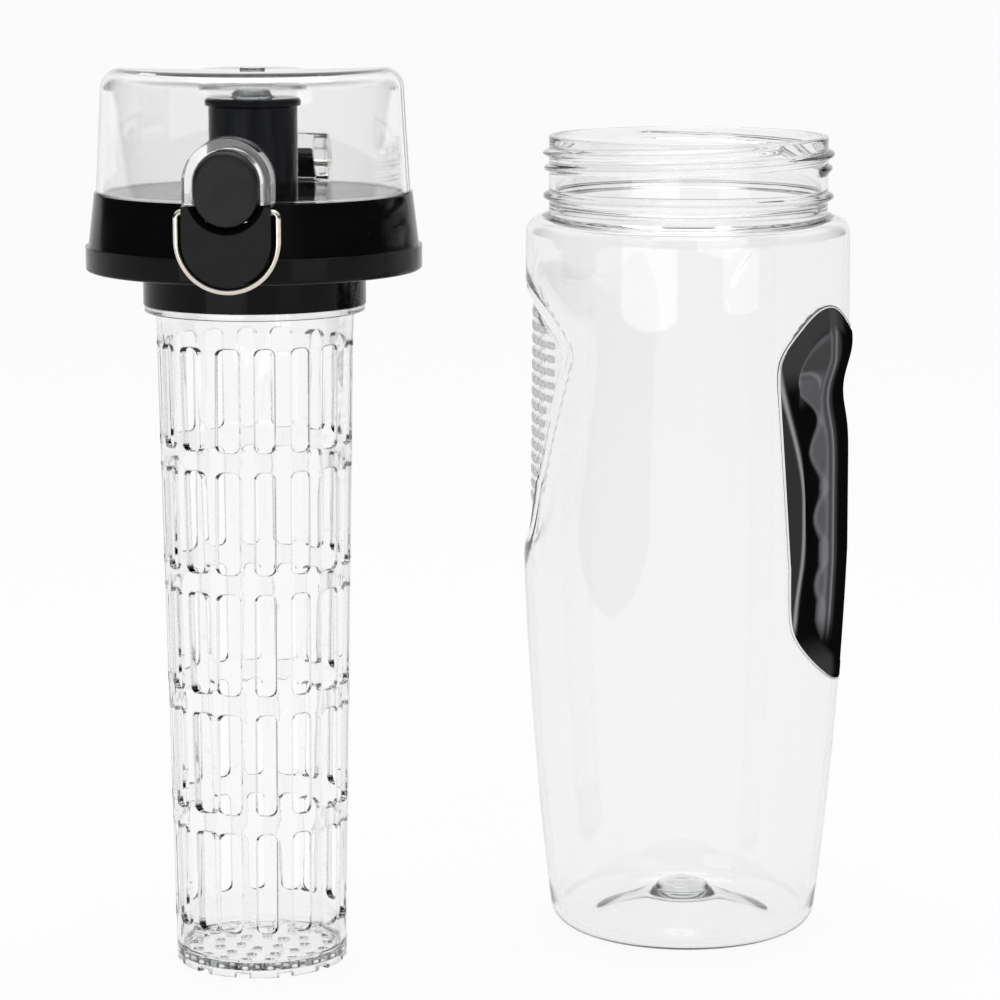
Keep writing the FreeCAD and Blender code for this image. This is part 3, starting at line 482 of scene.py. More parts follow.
# Grip rubber: black, with grey painted highlights and black painted shade set by the mesh's painted
# light.
GRIP_RUBBER = PaintedLightRubber("elastomer_black_painted_light", "#0c0c0d", 0.3, 0.06, 5.0,
                            second="#131315", flow=9.0, grain=0.6, depth=0.006, edge=0.0,
                            mirror=0.0)
BLACK_SILICONE = MouldedPlastic("silicone_black_moulded", "#161616", 0.42, 0.05, 4.0,
                                second="#1e1e1e", grain=0.5, depth=0.006, edge=0.25)
CLOUDY_SILICONE = FrostedSilicone("silicone_natural_moulded", "#eef0f1", 0.3, 0.06, 3.0,
                                  through=0.85)
WIRE_STEEL = DrawnSteel("stainless_wire_drawn", "#d6d0c6", 0.16, 0.05, 1.5)


# Bottle


@dataclass
class ShieldOutline:
    """The outline of a grip recess, seen from the side: an arc over the top, slanted flanks and
    an arc round the bottom. Across is measured from its middle line, heights from the floor.

    Half, height and arc tell where the lower and upper corners are and how wide the arcs are. The
    arcs' centres, the lowest and highest points and the flanks' lean follow from them.

    Attributes:
        corner: Sharpness of the rounded corners, per millimetre.
        notch: How far the top edge dips in its middle, over notch_half to each side.
        notch_base: Height from which the dip pulls the outline down.
        far_drop: How much lower the top edge is on the far half, from far_half on.
        release: How fast the lower arc's edge moves out of the way over its centre.
    """

    side: Side
    low_half: float
    low_height: float
    low_arc: float
    top_half: float = 32.9
    top_height: float = 167.0
    top_arc: float = 44.6
    corner: float = 0.8
    notch: float = 0.0
    notch_half: float = 29.0
    notch_base: float = 140.0
    far_drop: float = 0.0
    far_half: float = 16.0
    release: float = 2.0
    top_centre: float = field(init=False)
    low_centre: float = field(init=False)
    lowest: float = field(init=False)
    highest: float = field(init=False)
    lean: float = field(init=False)

    def __post_init__(self) -> None:
        """Works out what follows from the corners and the arcs' radii."""
        self.top_centre = self.top_height - math.sqrt(self.top_arc ** 2 - self.top_half ** 2)
        self.low_centre = self.low_height + math.sqrt(self.low_arc ** 2 - self.low_half ** 2)
        self.lowest = self.low_centre - self.low_arc
        self.highest = self.top_centre + self.top_arc
        self.lean = (self.top_half - self.low_half) / (self.top_height - self.low_height)

    def pull(self, across: Array) -> Array:
        """Share of the height over the dip's base that is left at each distance across."""
        drop = (self.notch * (1.0 - ease(0.0, self.notch_half, np.abs(across)))
                + self.far_drop * ease(0.0, self.far_half, across))
        return 1.0 - drop / (self.highest - self.notch_base)

    def dipped(self, across: Array, height: Array) -> Array:
        """Heights of a plain arched outline pulled down by the dip."""
        over = np.maximum(height - self.notch_base, 0.0)
        return height - over * (1.0 - self.pull(across))

    def depth_inside(self, across: Array, height: Array) -> Array:
        """Distance in from the outline, below zero outside it: the soft least of the distances
        to the upper arc, the lower arc and the flank.

        Args:
            across: Distance from the middle line.
            height: Height over the floor.

        Returns:
            The distances.
        """
        wide = np.abs(across)
        over = np.maximum(height - self.notch_base, 0.0)
        plain = height - over + over / self.pull(across)
        above = np.maximum(plain - self.top_centre, 0.0)
        below = np.minimum(height - self.low_centre, 0.0)
        over = np.maximum(height - self.low_centre, 0.0)
        top = self.top_arc - np.hypot(wide, above)
        low = self.low_arc - np.hypot(wide, below) + self.release * over
        flank = (self.low_half + self.lean * (height - self.low_height) - wide)
        flank = flank / math.hypot(1.0, self.lean)
        return soft_least(soft_least(top, low, self.corner), flank, self.corner)

    def half_width(self, height: Array) -> Array:
        """Half width at each height: the soft least of the arcs' and the flank's half widths.

        Args:
            height: Height over the floor, before the dip.

        Returns:
            The half widths.
        """
        above = np.maximum(height - self.top_centre, 0.0)
        below = np.minimum(height - self.low_centre, 0.0)
        over = np.maximum(height - self.low_centre, 0.0)
        top = np.sqrt(np.maximum(self.top_arc ** 2 - above ** 2, 0.0))
        low = np.sqrt(np.maximum(self.low_arc ** 2 - below ** 2, 0.0)) + self.release * over
        flank = self.low_half + self.lean * (height - self.low_height)
        least = soft_least(soft_least(top, low, self.corner), flank, self.corner)
        return np.maximum(least, 0.0)


@dataclass
class Bottle:
    """The blown bottle: a wall with threaded neck, two grip recesses and a coned floor."""

    height: float = 224.0
    wall: float = 1.7
    turn: float = -8.0
    body: float = 45.0
    belly: float = 45.5
    belly_height: float = 109.0
    side_bow: float = 1200.0
    heel: float = 37.6
    heel_height: float = 5.6
    heel_corner: float = 6.5
    foot: float = 31.2
    ring: float = 26.0
    push: float = 8.6
    push_height: float = 7.5
    nub: float = 7.6
    nub_height: float = 2.0
    nub_cap: float = 4.8
    nub_cap_height: float = 0.9
    nub_draft: float = 0.5
    nub_root: float = 0.1
    floor_run: Point = (1.2, -0.5)
    cap_draft: float = 0.2
    shoulder: float = 202.8
    shoulder_corner: float = 5.0
    shoulder_rise: float = 0.6
    neck: float = 38.65
    rim_round: float = 0.5
    bead_drop: float = 16.6
    bead_reach: float = 1.6
    bead_zone: Point = (0.3, 1.5)
    thread_reach: float = 1.75
    thread_drop: float = 5.0
    thread_pitch: float = 4.1
    thread_starts: int = 2
    thread_turns: float = 0.82
    thread_zone: Point = (0.25, 1.35)
    thread_fade: Point = (-0.06, 0.06)
    recess: float = 2.2
    right_ramp: Point = (3.2, 6.4)
    left_ramp: Point = (-2.4, 2.2)
    inner_run: float = 2.2
    far_run: float = 9.0
    far_zone: Point = (-4.0, 10.0)
    zone_margin: float = 4.0
    columns: int = 280
    right: ShieldOutline = field(default_factory=lambda: ShieldOutline(
        Side.RIGHT, low_half=32.0, low_height=91.5, low_arc=36.6, top_half=35.9,
        top_height=165.5, top_arc=40.4, notch=15.8, far_drop=6.5))
    left: ShieldOutline = field(default_factory=lambda: ShieldOutline(
        Side.LEFT, low_half=17.0, low_height=118.0, low_arc=20.6))

    @property
    def low_shoulder(self) -> float:
        """Height at which the side ends and the shoulder's bend begins."""
        return self.shoulder - self.shoulder_rise - self.shoulder_corner

    def side(self, height: Array) -> Array:
        """Outer radius of the side: a shallow bow from heel to belly, straight from there up.

        Args:
            height: Heights over the floor.

        Returns:
            Radii.
        """
        span = self.belly_height - self.heel_height
        share = (height - self.heel_height) / span
        sag = (span ** 2 + (self.belly - self.heel) ** 2) / (8.0 * self.side_bow)
        lower = self.heel + (self.belly - self.heel) * share + 4.0 * sag * share * (1.0 - share)
        upper = np.interp(height, [self.belly_height, self.low_shoulder],
                          [self.belly, self.body])
        return np.where(height < self.belly_height, lower, upper)

    def section(self) -> tuple[Array, Array, Array]:
        """The wall's section as one line from under the base, up the outside, over the rim and
        down the inside to the floor's middle.

        Returns:
            Points as radius and height, the inset of each point's wall face, and a weight that
            is one on the outside of the neck.
        """
        edge, mouth = self.rim_round, self.neck - self.wall
        low, high = self.right.lowest - self.zone_margin, self.right.highest + self.zone_margin
        rise = straight([self.heel_height, low, high, self.low_shoulder], (13, 140, 6))
        fall = straight([self.low_shoulder, high, low, self.heel_height], (5, 56, 10))
        under = softened(straight([(0.0, self.push_height), (self.push, self.push_height),
                                   (self.ring, 0.0), (self.foot, 0.0)], (5, 9, 4)))
        under[:, 1] = np.maximum(under[:, 1], 0.0)
        corner = (self.body - self.shoulder_corner, self.low_shoulder + self.shoulder_corner)
        outer = joined(
            under,
            bend((self.foot, 0.0), (self.heel, self.heel_height), self.heel_corner, Hand.LEFT, 8),
            np.stack([self.side(rise), rise], axis=1),
            bend((self.body, self.low_shoulder), corner, self.shoulder_corner, Hand.LEFT, 8),
            softened(straight([corner, (self.neck, self.shoulder),
                               (self.neck, self.height - edge)], (3, 50))),
            bend((self.neck, self.height - edge), (self.neck - edge, self.height), edge,
                 Hand.LEFT, 4))
        floor = self.push_height + self.wall
        step = floor + self.nub_height
        top = step + self.nub_cap_height
        corner = (corner[0], corner[1] - self.wall)
        inner = joined(
            bend((mouth + edge, self.height), (mouth, self.height - edge), edge, Hand.LEFT, 4),
            straight([(mouth, self.height - edge), (mouth, self.shoulder - self.wall), corner],
                     (5, 3)),
            bend(corner, (self.body - self.wall, self.low_shoulder),
                 self.shoulder_corner - self.wall, Hand.RIGHT, 6),
            np.stack([self.side(fall) - self.wall, fall], axis=1),
            bend((self.heel - self.wall, self.heel_height), (self.foot, self.wall),
                 self.heel_corner - self.wall, Hand.RIGHT, 6),
            softened(straight([
                (self.foot, self.wall), (self.ring, self.wall),
                (self.push + self.floor_run[0], floor + self.floor_run[1]),
                (self.nub, floor + self.nub_root),
                (self.nub - self.nub_draft, step), (self.nub_cap + self.cap_draft, step),
                (self.nub_cap - self.cap_draft, top), (0.0, top)], (3, 5, 3, 3, 3, 3, 4))))
        line = np.concatenate([outer, inner])
        inset = np.concatenate([np.zeros(len(outer)), np.full(len(inner), self.wall)])
        threaded = np.concatenate([ease(self.shoulder, self.shoulder + 1.0, outer[:, 1]),
                                   np.zeros(len(inner))])
        return line, inset, threaded

    def scoop(self, angle: Array, radius: Array, height: Array, inset: Array) -> Array:
        """How far the wall steps in: the recess depth times a smooth step over the outline, a
        longer one on the inner face and on the far edge of the left recess.

        Args:
            angle: Angle about the axis.
            radius: Radius of the plain side.
            height: Height over the floor.
            inset: Distance of the wall face from the outside.

        Returns:
            Step towards the axis.
        """
        across = radius * np.sin(angle)
        step = np.zeros(np.broadcast_shapes(angle.shape, height.shape))
        for outline, ramp in ((self.right, self.right_ramp), (self.left, self.left_ramp)):
            inward = outline.depth_inside(across, height)
            facing = np.cos(angle) * outline.side.value > 0.0
            run = self.inner_run * (inset > 0.0)
            far = self.far_run * ease(*self.far_zone, across) * (outline.side is Side.LEFT)
            depth = self.recess * ease(ramp[0] - run - far, ramp[1] + (run + far) / 2.0, inward)
            step += np.where(facing, depth, 0.0)
        return step

    def neck_relief(self, angle: Array, height: Array) -> Array:
        """Height of thread and bead over the neck.

        The thread's crests are the lines on which (z - z0) / pitch - starts * angle / turn is
        whole; the height falls smoothly to both sides of a crest and runs out at both ends.

        Args:
            angle: Angle about the axis.
            height: Height over the floor.

        Returns:
            Relief over the neck's plain wall.
        """
        round_share = angle / FULL_TURN % 1.0
        first = self.height - self.thread_drop - self.thread_pitch
        phase = (height - first) / self.thread_pitch - self.thread_starts * round_share
        whole = np.round(phase)
        off = np.abs(phase - whole) * self.thread_pitch
        along = (whole + self.thread_starts * round_share) / self.thread_starts
        ends = ease(*self.thread_fade, along)
        ends = ends * (1.0 - ease_near(self.thread_turns, self.thread_fade, along))
        thread = self.thread_reach * (1.0 - ease(*self.thread_zone, off)) * ends
        away = np.abs(height - (self.height - self.bead_drop))
        return thread + self.bead_reach * (1.0 - ease(*self.bead_zone, away))

    def build(self) -> Piece:
        """Makes the bottle wall: the section carried round the axis, stepped in at the recesses
        and raised at thread and bead.

        Returns:
            The bottle piece.
        """
        line, inset, threaded = self.section()
        angle = np.linspace(0.0, FULL_TURN, self.columns, endpoint=False)[None, :]
        plain, height = line[:, :1], line[:, 1:]
        on_side = (plain > self.foot) & (height > self.heel_height)
        on_side &= height < self.shoulder - self.shoulder_corner
        outer = plain + inset[:, None]
        radius = plain - np.where(on_side, self.scoop(angle, outer, height, inset[:, None]), 0.0)
        radius = radius + threaded[:, None] * self.neck_relief(angle, height)
        turned = angle + math.radians(self.turn)
        points = np.stack([radius * np.cos(turned), radius * np.sin(turned),
                           np.broadcast_to(height, radius.shape)], axis=-1)
        piece = grid_piece("bottle_wall", points, BOTTLE_PLASTIC.material())
        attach(piece, "bottle")
        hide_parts("bottle_shell")
        return piece

    def placed(self, radius: Array, across: Array, height: Array, side: Side) -> Array:
        """Places points on a grip side: out by sqrt(radius^2 - across^2), turned with the side.

        Args:
            radius: Distance from the bottle's axis.
            across: Distance from the side's middle line.
            height: Height over the floor.
            side: The side.

        Returns:
            The points.
        """
        out = np.sqrt(np.maximum(radius ** 2 - across ** 2, 0.0)) * side.value
        turn = math.radians(self.turn)
        return np.stack([out * math.cos(turn) - across * math.sin(turn),
                         out * math.sin(turn) + across * math.cos(turn),
                         np.broadcast_to(height, radius.shape)], axis=-1)


@dataclass
class Grip:
    """The rubber grip: a border flush with the bottle, on each side of a spine a finger channel
    with a wavy wall, a knob at the top, and under it a thumb hollow with a round pad.

    A highlight is a painted pale highlight line, a painted light the weight of a patch of painted
    light and a zone the start and the end of a smooth step. Flare and toe move the border's inner
    edge between two heights by a third value.
    """

    bottle: Bottle
    rows: int = 290
    columns: int = 210
    under_columns: int = 60
    gap: float = 0.1
    most: float = 46.15
    edge: float = 0.8
    border: float = 0.3
    ridge_half: float = 29.3
    ridge_flare: Place = (126.0, 166.0, 6.2)
    ridge_toe: Place = (96.0, 118.0, 1.4)
    ridge_zone: Point = (-1.4, 0.3)
    spine_half: float = 18.0
    spine_drop: float = 0.25
    spine_run: float = 5.0
    crest: Bump = Bump(0.3, 1.0)
    hollow_base: float = 95.0
    hollow_low: float = 19.9
    hollow_lean: float = 0.035
    channel: float = 1.85
    channel_low: float = 89.0
    channel_zone: Point = (-4.0, 4.0)
    channel_margin: float = 5.4
    margin_zone: Point = (-1.2, 1.2)
    middle_zone: Point = (-9.0, -1.0)
    lobe_start: float = 20.4
    lobe_run: float = 0.6
    lobe_pitch: float = 18.3
    lobe_height: float = 139.1
    lobe_top: float = 157.4
    lobe: float = 2.7
    lobe_extra: float = 4.5
    lobe_growth: float = 15.0
    thumb: Bump = Bump(1.6, 8.0, 153.7)
    knob: Bump = Bump(0.95, 6.0, 167.0)
    knob_edge: float = 2.5
    pad: float = 0.6
    pad_across: float = 26.8
    pad_height: float = 156.4
    pad_half: float = 5.1
    pad_zone: Point = (0.6, 1.05)
    # Bell curves of the painted highlight lines, and weights of painted light on lobes, spine, pad,
    # border and cap; the channels stay black as painted shade.
    crest_highlight: Bump = Bump(0.5, 0.55)
    start_highlight: Bump = Bump(0.3, 0.45)
    foot_highlight: Bump = Bump(0.25, 0.4, -0.9)
    ridge_highlight: Bump = Bump(1.0, 0.5, 0.2)
    cap_highlight: Bump = Bump(0.17, 0.6, 1.2)
    pad_highlight: Bump = Bump(0.34, 0.1, 1.0)
    lobe_painted_light: float = 0.32
    lobe_dim: float = 0.45
    spine_painted_light: float = 0.2
    pad_painted_light: float = 0.14
    border_painted_light: float = 0.09
    cap_painted_light: float = 0.13
    dim_zone: Point = (159.0, 163.0)
    spine_zone: Point = (13.0, 17.5)
    cap_zone: Point = (156.0, 164.0)
    toe_zone: Point = (78.0, 90.0)
    end_zone: Point = (9.0, 15.0)
    along_zone: Point = (-4.0, 6.0)
    within_zone: Point = (-1.0, 1.5)
    lobe_zone: Point = (-1.3, -0.1)
    upper_zone: Point = (-1.0, 2.5)
    border_zone: Point = (0.0, 0.8)
    shade_zone: Point = (0.5, 1.0)
    shade_far: Point = (-3.0, 4.0)

    def ridge(self, height: Array) -> Array:
        """How far the border's inner edge is from the middle line: further at both ends."""
        flare, toe = [amount * ease(low, high, height)
                      for low, high, amount in (self.ridge_flare, self.ridge_toe)]
        return self.ridge_half + flare + self.ridge_toe[2] - toe

    def foot(self, height: Array) -> Array:
        """Distance of the channel wall's foot from the middle line: a leaning line plus a cosine
        wave of finger lobes, of which the upper ones grow by exp((z - z0) / growth).

        Args:
            height: Height over the floor.

        Returns:
            The distances.
        """
        low = np.minimum(height, self.lobe_top)
        turn = FULL_TURN * (low - self.lobe_height) / self.lobe_pitch
        reach = self.lobe + self.lobe_extra * np.exp((low - self.lobe_top) / self.lobe_growth)
        hollow = self.hollow_low + self.hollow_lean * (low - self.hollow_base)
        foot = hollow + reach * (0.5 + 0.5 * np.cos(turn))
        most = self.ridge(height) + self.ridge_zone[0]
        return np.clip(foot, self.lobe_start + self.lobe_run, most)

    def from_pad(self, across: Array, height: Array) -> Array:
        """Distance from the middle of the round thumb pad, as a share of its radius."""
        return np.hypot(np.abs(across) - self.pad_across,
                        height - self.pad_height) / self.pad_half

    def face(self, across: Array, height: Array) -> Array:
        """Radius of the outer face.

        The bottle's side plus the border, less the channel depth inside ridge, foot and margin,
        plus the spine's crests (bell curves), less the thumb hollow and plus the knob (bell
        curves of the height), plus the round thumb pad.

        Args:
            across: Distance from the middle line.
            height: Height over the floor.

        Returns:
            Radii before the edge is rounded.
        """
        wide = np.abs(across)
        ridge = self.ridge(height)
        inward = self.bottle.right.depth_inside(across, height)
        mask = 1.0 - ease_near(ridge, self.ridge_zone, wide)
        mask = mask * ease_near(self.channel_margin, self.margin_zone, inward)
        mask = mask * ease_near(self.channel_low, self.channel_zone, height)
        start = self.lobe_start - self.lobe_run
        channel = self.channel * mask * ease(start, self.foot(height), wide)
        crest = self.crest.over(wide - self.spine_half) * mask
        flat = 1.0 - ease(self.spine_half - self.spine_run, self.spine_half, wide)
        middle = 1.0 - ease_near(ridge, self.middle_zone, wide)
        swell = self.knob.over(height) * ease(0.0, self.knob_edge, inward)
        swell = swell - self.thumb.over(height) * ease(1.0, self.channel_margin, inward)
        radius = self.bottle.side(height) + self.border + swell * middle
        radius = radius + self.pad * (1.0 - ease(*self.pad_zone, self.from_pad(across, height)))
        return np.minimum(radius - channel - self.spine_drop * flat + crest, self.most)

    def painted_light(self, across: Array, height: Array) -> Array:
        """Share of painted light: painted highlights as bell curves on the spine's two crest lines,
        the lobes' edge, the border's ridge, the rim of the cap and the upper rim of the thumb pad,
        paler painted light on the lobes and the pad themselves, and a little on border and cap. The
        channels stay black as painted shade.

        Args:
            across: Distance from the middle line.
            height: Height over the floor.

        Returns:
            The shares.
        """
        wide = np.abs(across)
        foot, ridge = self.foot(height), self.ridge(height)
        inward = self.bottle.right.depth_inside(across, height)
        along = ease_near(self.channel_low, self.along_zone, height)
        within = ease_near(self.channel_margin, self.within_zone, inward)
        beside = ease(self.lobe_start, self.lobe_start + 1.0, wide)
        # Painted light on the lobes, dimmer near the top; the channels stay black as painted shade.
        lobes = beside * (1.0 - ease_near(foot, self.lobe_zone, wide)) * within
        lobes = lobes * (1.0 - self.lobe_dim * ease(*self.dim_zone, height))
        spine = ease(*self.spine_zone, wide) * (1.0 - beside)
        pad = self.from_pad(across, height)
        upper = ease_near(self.pad_height, self.upper_zone, height)
        upper = upper * ease(self.lobe_start, self.lobe_start + 2.0, wide)
        # Painted highlight lines on the spine's crests, the lobes' start and the channel wall's
        # foot.
        lines = self.crest_highlight.over(wide - self.spine_half)
        lines = lines + self.start_highlight.over(wide - self.lobe_start)
        lines = lines + self.foot_highlight.over(wide - foot)
        # Painted highlight rims on the upper edge of the thumb pad and along the cap.
        rims = self.pad_highlight.over(pad) * within
        rims = rims + self.cap_highlight.over(inward - self.channel_margin)
        shade = 1.0 - ease(*self.shade_zone, pad)
        shade = shade * ease(*self.shade_far, wide - self.pad_across)
        inner = self.lobe_painted_light * lobes + self.spine_painted_light * spine + self.pad_painted_light * shade
        inner = (inner + lines * within) * along + rims * upper
        # Painted highlight on the border's ridge; border and both ends get a little painted grey
        # light.
        edge = self.ridge_highlight.over(wide - ridge) * along
        border = self.border_painted_light * ease_near(ridge, self.border_zone, wide)
        ends = ease(*self.cap_zone, height) + 1.0 - ease(*self.toe_zone, height)
        cap = self.cap_painted_light * ends * (1.0 - within) * ease(*self.end_zone, wide)
        return np.clip(np.max([inner, edge, border, cap], axis=0), 0.0, 1.0)

    def floor(self, across: Array, height: Array) -> Array:
        """Radius of the underside: the stepped wall of the bottle plus the gap."""
        side = np.broadcast_to(self.bottle.side(height), across.shape)
        return side + self.gap - self.bottle.scoop(np.arcsin(np.clip(across / side, -1.0, 1.0)),
                                                   side, height, np.zeros_like(side))

    def build(self) -> Piece:
        """Makes the grip: for each height of the plain outline a closed loop over the face and
        back underneath, pulled down by the outline's dip, the rows closing to a pole at both ends.

        Returns:
            The grip piece.
        """
        outline = self.bottle.right
        low, high = outline.lowest + self.gap, outline.highest - self.gap
        swing = np.linspace(0.0, math.pi, self.rows)
        plain = ((low + high) / 2.0 - (high - low) / 2.0 * np.cos(swing))[:, None]
        half = np.maximum(outline.half_width(plain) - self.gap, 0.0)
        half[[0, -1]] = 0.0
        quarter = math.pi / 2.0
        across = half * np.sin(np.linspace(-quarter, quarter, self.columns))[None, :]
        height = outline.dipped(across, plain)
        inward = np.clip(outline.depth_inside(across, height) / self.edge, 0.0, 1.0)
        fall = self.edge * (1.0 - np.sqrt(1.0 - (1.0 - inward) ** 2))
        face = np.maximum(self.face(across, height) - fall,
                          self.floor(across, height) + self.gap)
        under = half * np.sin(np.linspace(quarter, -quarter, self.under_columns))[None, 1:-1]
        under_height = outline.dipped(under, plain)
        points = np.concatenate([
            self.bottle.placed(face, across, height, Side.RIGHT),
            self.bottle.placed(self.floor(under, under_height), under, under_height, Side.RIGHT)],
            axis=1)
        points[[0, -1]] = points[[0, -1]].mean(axis=1, keepdims=True)
        # Painted light per point: painted highlights on the face, none underneath.
        painted_light = np.pad(self.painted_light(across, height), ((0, 0), (0, under.shape[1])))
        piece = grid_piece("grip_pad", points, GRIP_RUBBER.material(), painted_light=painted_light)
        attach(piece, "bottle")
        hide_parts("right_grip")
        return piece


@dataclass
class GripRim:
    """The thin clear bead that the bottle's wall forms round the grip, thicker over its top."""

    bottle: Bottle
    radius: float = 0.42
    least: float = 0.18
    outside: float = 0.3
    proud: float = 0.1
    thick_zone: Point = (150.0, 166.0)
    stops: int = 150
    sides: int = 12

    def build(self) -> Piece:
        """Makes the bead: a circle carried round the recess outline, up one flank and down the
        other, in the plane of the radial direction and its cross product with the path.

        Returns:
            The bead.
        """
        outline = self.bottle.right
        swing = np.linspace(0.0, math.pi, self.stops)
        middle, reach = (outline.highest + outline.lowest) / 2.0, outline.highest - outline.lowest
        inner = middle - reach / 2.0 * np.cos(swing)
        half = outline.half_width(inner)
        half[[0, -1]] = 0.0
        across = np.concatenate([half, -half[-2:0:-1]])
        height = outline.dipped(across, np.concatenate([inner, inner[-2:0:-1]]))
        ahead, up = unit(np.stack([course(across), course(height)], axis=1)).T
        across, height = across + self.outside * up, height - self.outside * ahead
        path = self.bottle.placed(self.bottle.side(height) + self.proud, across, height,
                                  Side.RIGHT)
        out = unit(path * np.array([1.0, 1.0, 0.0]))
        aside = unit(np.cross(course(path), out))
        turn = np.linspace(0.0, FULL_TURN, self.sides, endpoint=False)[None, :, None]
        thick = self.least + (self.radius - self.least) * ease(*self.thick_zone, height)
        points = path[:, None] + thick[:, None, None] * (np.cos(turn) * out[:, None]
                                                         + np.sin(turn) * aside[:, None])
        points = np.concatenate([points, points[:1]])
        piece = grid_piece("grip_rim", points, bpy.data.materials[BOTTLE_PLASTIC.name])
        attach(piece, "bottle")
        return piece


@dataclass
class RecessRibs:
    """Rows of short raised ribs on the floor of the left recess."""

    bottle: Bottle
    rows: int = 15
    low: float = 123.3
    pitch: float = 3.7
    length: float = 4.0
    spacing: float = 4.9
    width: float = 2.1
    height: float = 0.35
    margin: float = 3.2
    far: float = 8.0
    sunk: float = 0.1
    sides: int = 14
    levels: int = 5

    def build(self) -> Piece:
        """Makes all ribs as one piece: a low bar with a rounded top, repeated on the rows and
        columns that fit inside the outline. Its plan is |x|^4 + |y|^4 = 1, which shrinks by
        sqrt(1 - t^3) towards the top.

        Returns:
            The ribs.
        """
        outline = self.bottle.left
        count = int(outline.top_half / self.spacing)
        grid_z, grid_y = np.meshgrid(self.low + self.pitch * np.arange(self.rows),
                                     self.spacing * np.arange(-count, count + 1), indexing="ij")
        fits = (outline.depth_inside(grid_y, grid_z) > self.margin) & (grid_y < self.far)
        middle_y, middle_z = grid_y[fits][:, None, None], grid_z[fits][:, None, None]
        ring = np.linspace(0.0, FULL_TURN, self.sides, endpoint=False)[None, None, :]
        rise = np.linspace(0.0, 1.0, self.levels)[None, :, None]
        reach = np.sqrt(1.0 - rise ** 3)
        square = (np.abs(np.cos(ring)) ** 4 + np.abs(np.sin(ring)) ** 4) ** -0.25
        across = middle_y + self.length / 2.0 * np.cos(ring) * square * reach
        height = middle_z + self.width / 2.0 * np.sin(ring) * square * reach
        base = self.bottle.side(height) - self.bottle.recess - self.sunk
        points = self.bottle.placed(base + (self.height + self.sunk) * rise, across, height,
                                    Side.LEFT)
        piece = grid_piece("recess_ribs", points, RIB_PLASTIC.material())
        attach(piece, "bottle")
        return piece


# Infuser, collar and lid


@dataclass
class ScrewRidge:
    """A thread ridge that winds round the infuser's axis.

    Attributes:
        body: The body it rides on.
        radius: Radius of the wall it stands on.
        reach: Height of the ridge, below zero on an inside wall.
        low: Height of its lower end.
        root: Half width at the wall.
        stops: Sections per turn.
        runout: Share of the length in which each end runs out.
    """

    name: str
    body: str
    slot: str
    radius: float
    reach: float
    low: float
    pitch: float = 4.2
    turns: float = 0.9
    root: float = 1.2
    axis: Point = (-118.0, -36.0)
    stops: int = 96
    runout: float = 0.12

    def build(self, finish: Material) -> Piece:
        """Makes the ridge: a rounded section carried along a right-handed helix, shrinking to a
        point at both ends.

        Args:
            finish: The ridge's material.

        Returns:
            The ridge.
        """
        share = np.linspace(0.0, 1.0, int(self.stops * self.turns) + 1)[:, None]
        angle = FULL_TURN * self.turns * share
        taper = ease(0.0, self.runout, share) * (1.0 - ease(1.0 - self.runout, 1.0, share))
        out = np.array([-0.04, 0.3, 0.75, 0.96, 1.0, 0.96, 0.75, 0.3, -0.04])[None, :]
        wide = np.array([1.0, 0.82, 0.55, 0.42, 0.0, -0.42, -0.55, -0.82, -1.0])[None, :]
        radius = self.radius + self.reach * out * taper
        height = self.low + self.pitch * self.turns * share + self.root * wide * taper
        points = np.stack([self.axis[0] + radius * np.cos(angle),
                           self.axis[1] + radius * np.sin(angle),
                           np.broadcast_to(height, radius.shape)], axis=-1)
        piece = grid_piece(self.name, points, finish)
        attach(piece, self.body)
        return piece


@dataclass
class Column:
    """The infuser with collar and lid: solids with their finishes, and the thread ridges."""

    neck_low: float = 181.5
    neck_radius: float = 26.6
    neck_lead: float = 1.5
    deck: float = 211.3
    skirt_radius: float = 40.85
    skirt_drop: float = 17.0
    ridge: float = 1.2

    def dress(self, nodes: dict[str, Piece]) -> None:
        """Gives each solid of the column its finish.

        Args:
            nodes: The CAD nodes by name.
        """
        black = BLACK_PLASTIC.material()
        soft = BLACK_SILICONE.material()
        steel = WIRE_STEEL.material()
        finishes = {
            "infuser_basket": INFUSER_PLASTIC.material(),
            "cover_dome": COVER_PLASTIC.material(),
            "spout_seal": CLOUDY_SILICONE.material(),
            "collar": black, "lid_base": black,
            "spout": SPOUT_PLASTIC.material(), "latch_button": BUTTON_PLASTIC.material(),
            "collar_seal": soft, "lid_seal": soft,
            "lock_bail": steel, "hinge_pin": steel, "hinge_spring": steel,
            "latch_pin": steel, "latch_spring": steel,
        }
        for name, finish in finishes.items():
            data = nodes[name].data
            data.materials.clear()
            data.materials.append(finish)
            LOG.info("dressed %s", name)

    def build(self) -> list[Piece]:
        """Makes the thread ridges of the basket's neck and the lid's skirt.

        Returns:
            The ridges.
        """
        basket = ScrewRidge("basket_thread", "infuser", "clear_infuser", self.neck_radius,
                            self.ridge, self.neck_low + self.neck_lead, turns=0.85)
        skirt = ScrewRidge("skirt_thread", "lid", "black_plastic", self.skirt_radius,
                           -self.ridge, self.deck - self.skirt_drop, turns=1.4)
        return [basket.build(bpy.data.materials[INFUSER_PLASTIC.name]),
                skirt.build(bpy.data.materials[BLACK_PLASTIC.name])]


# Studio


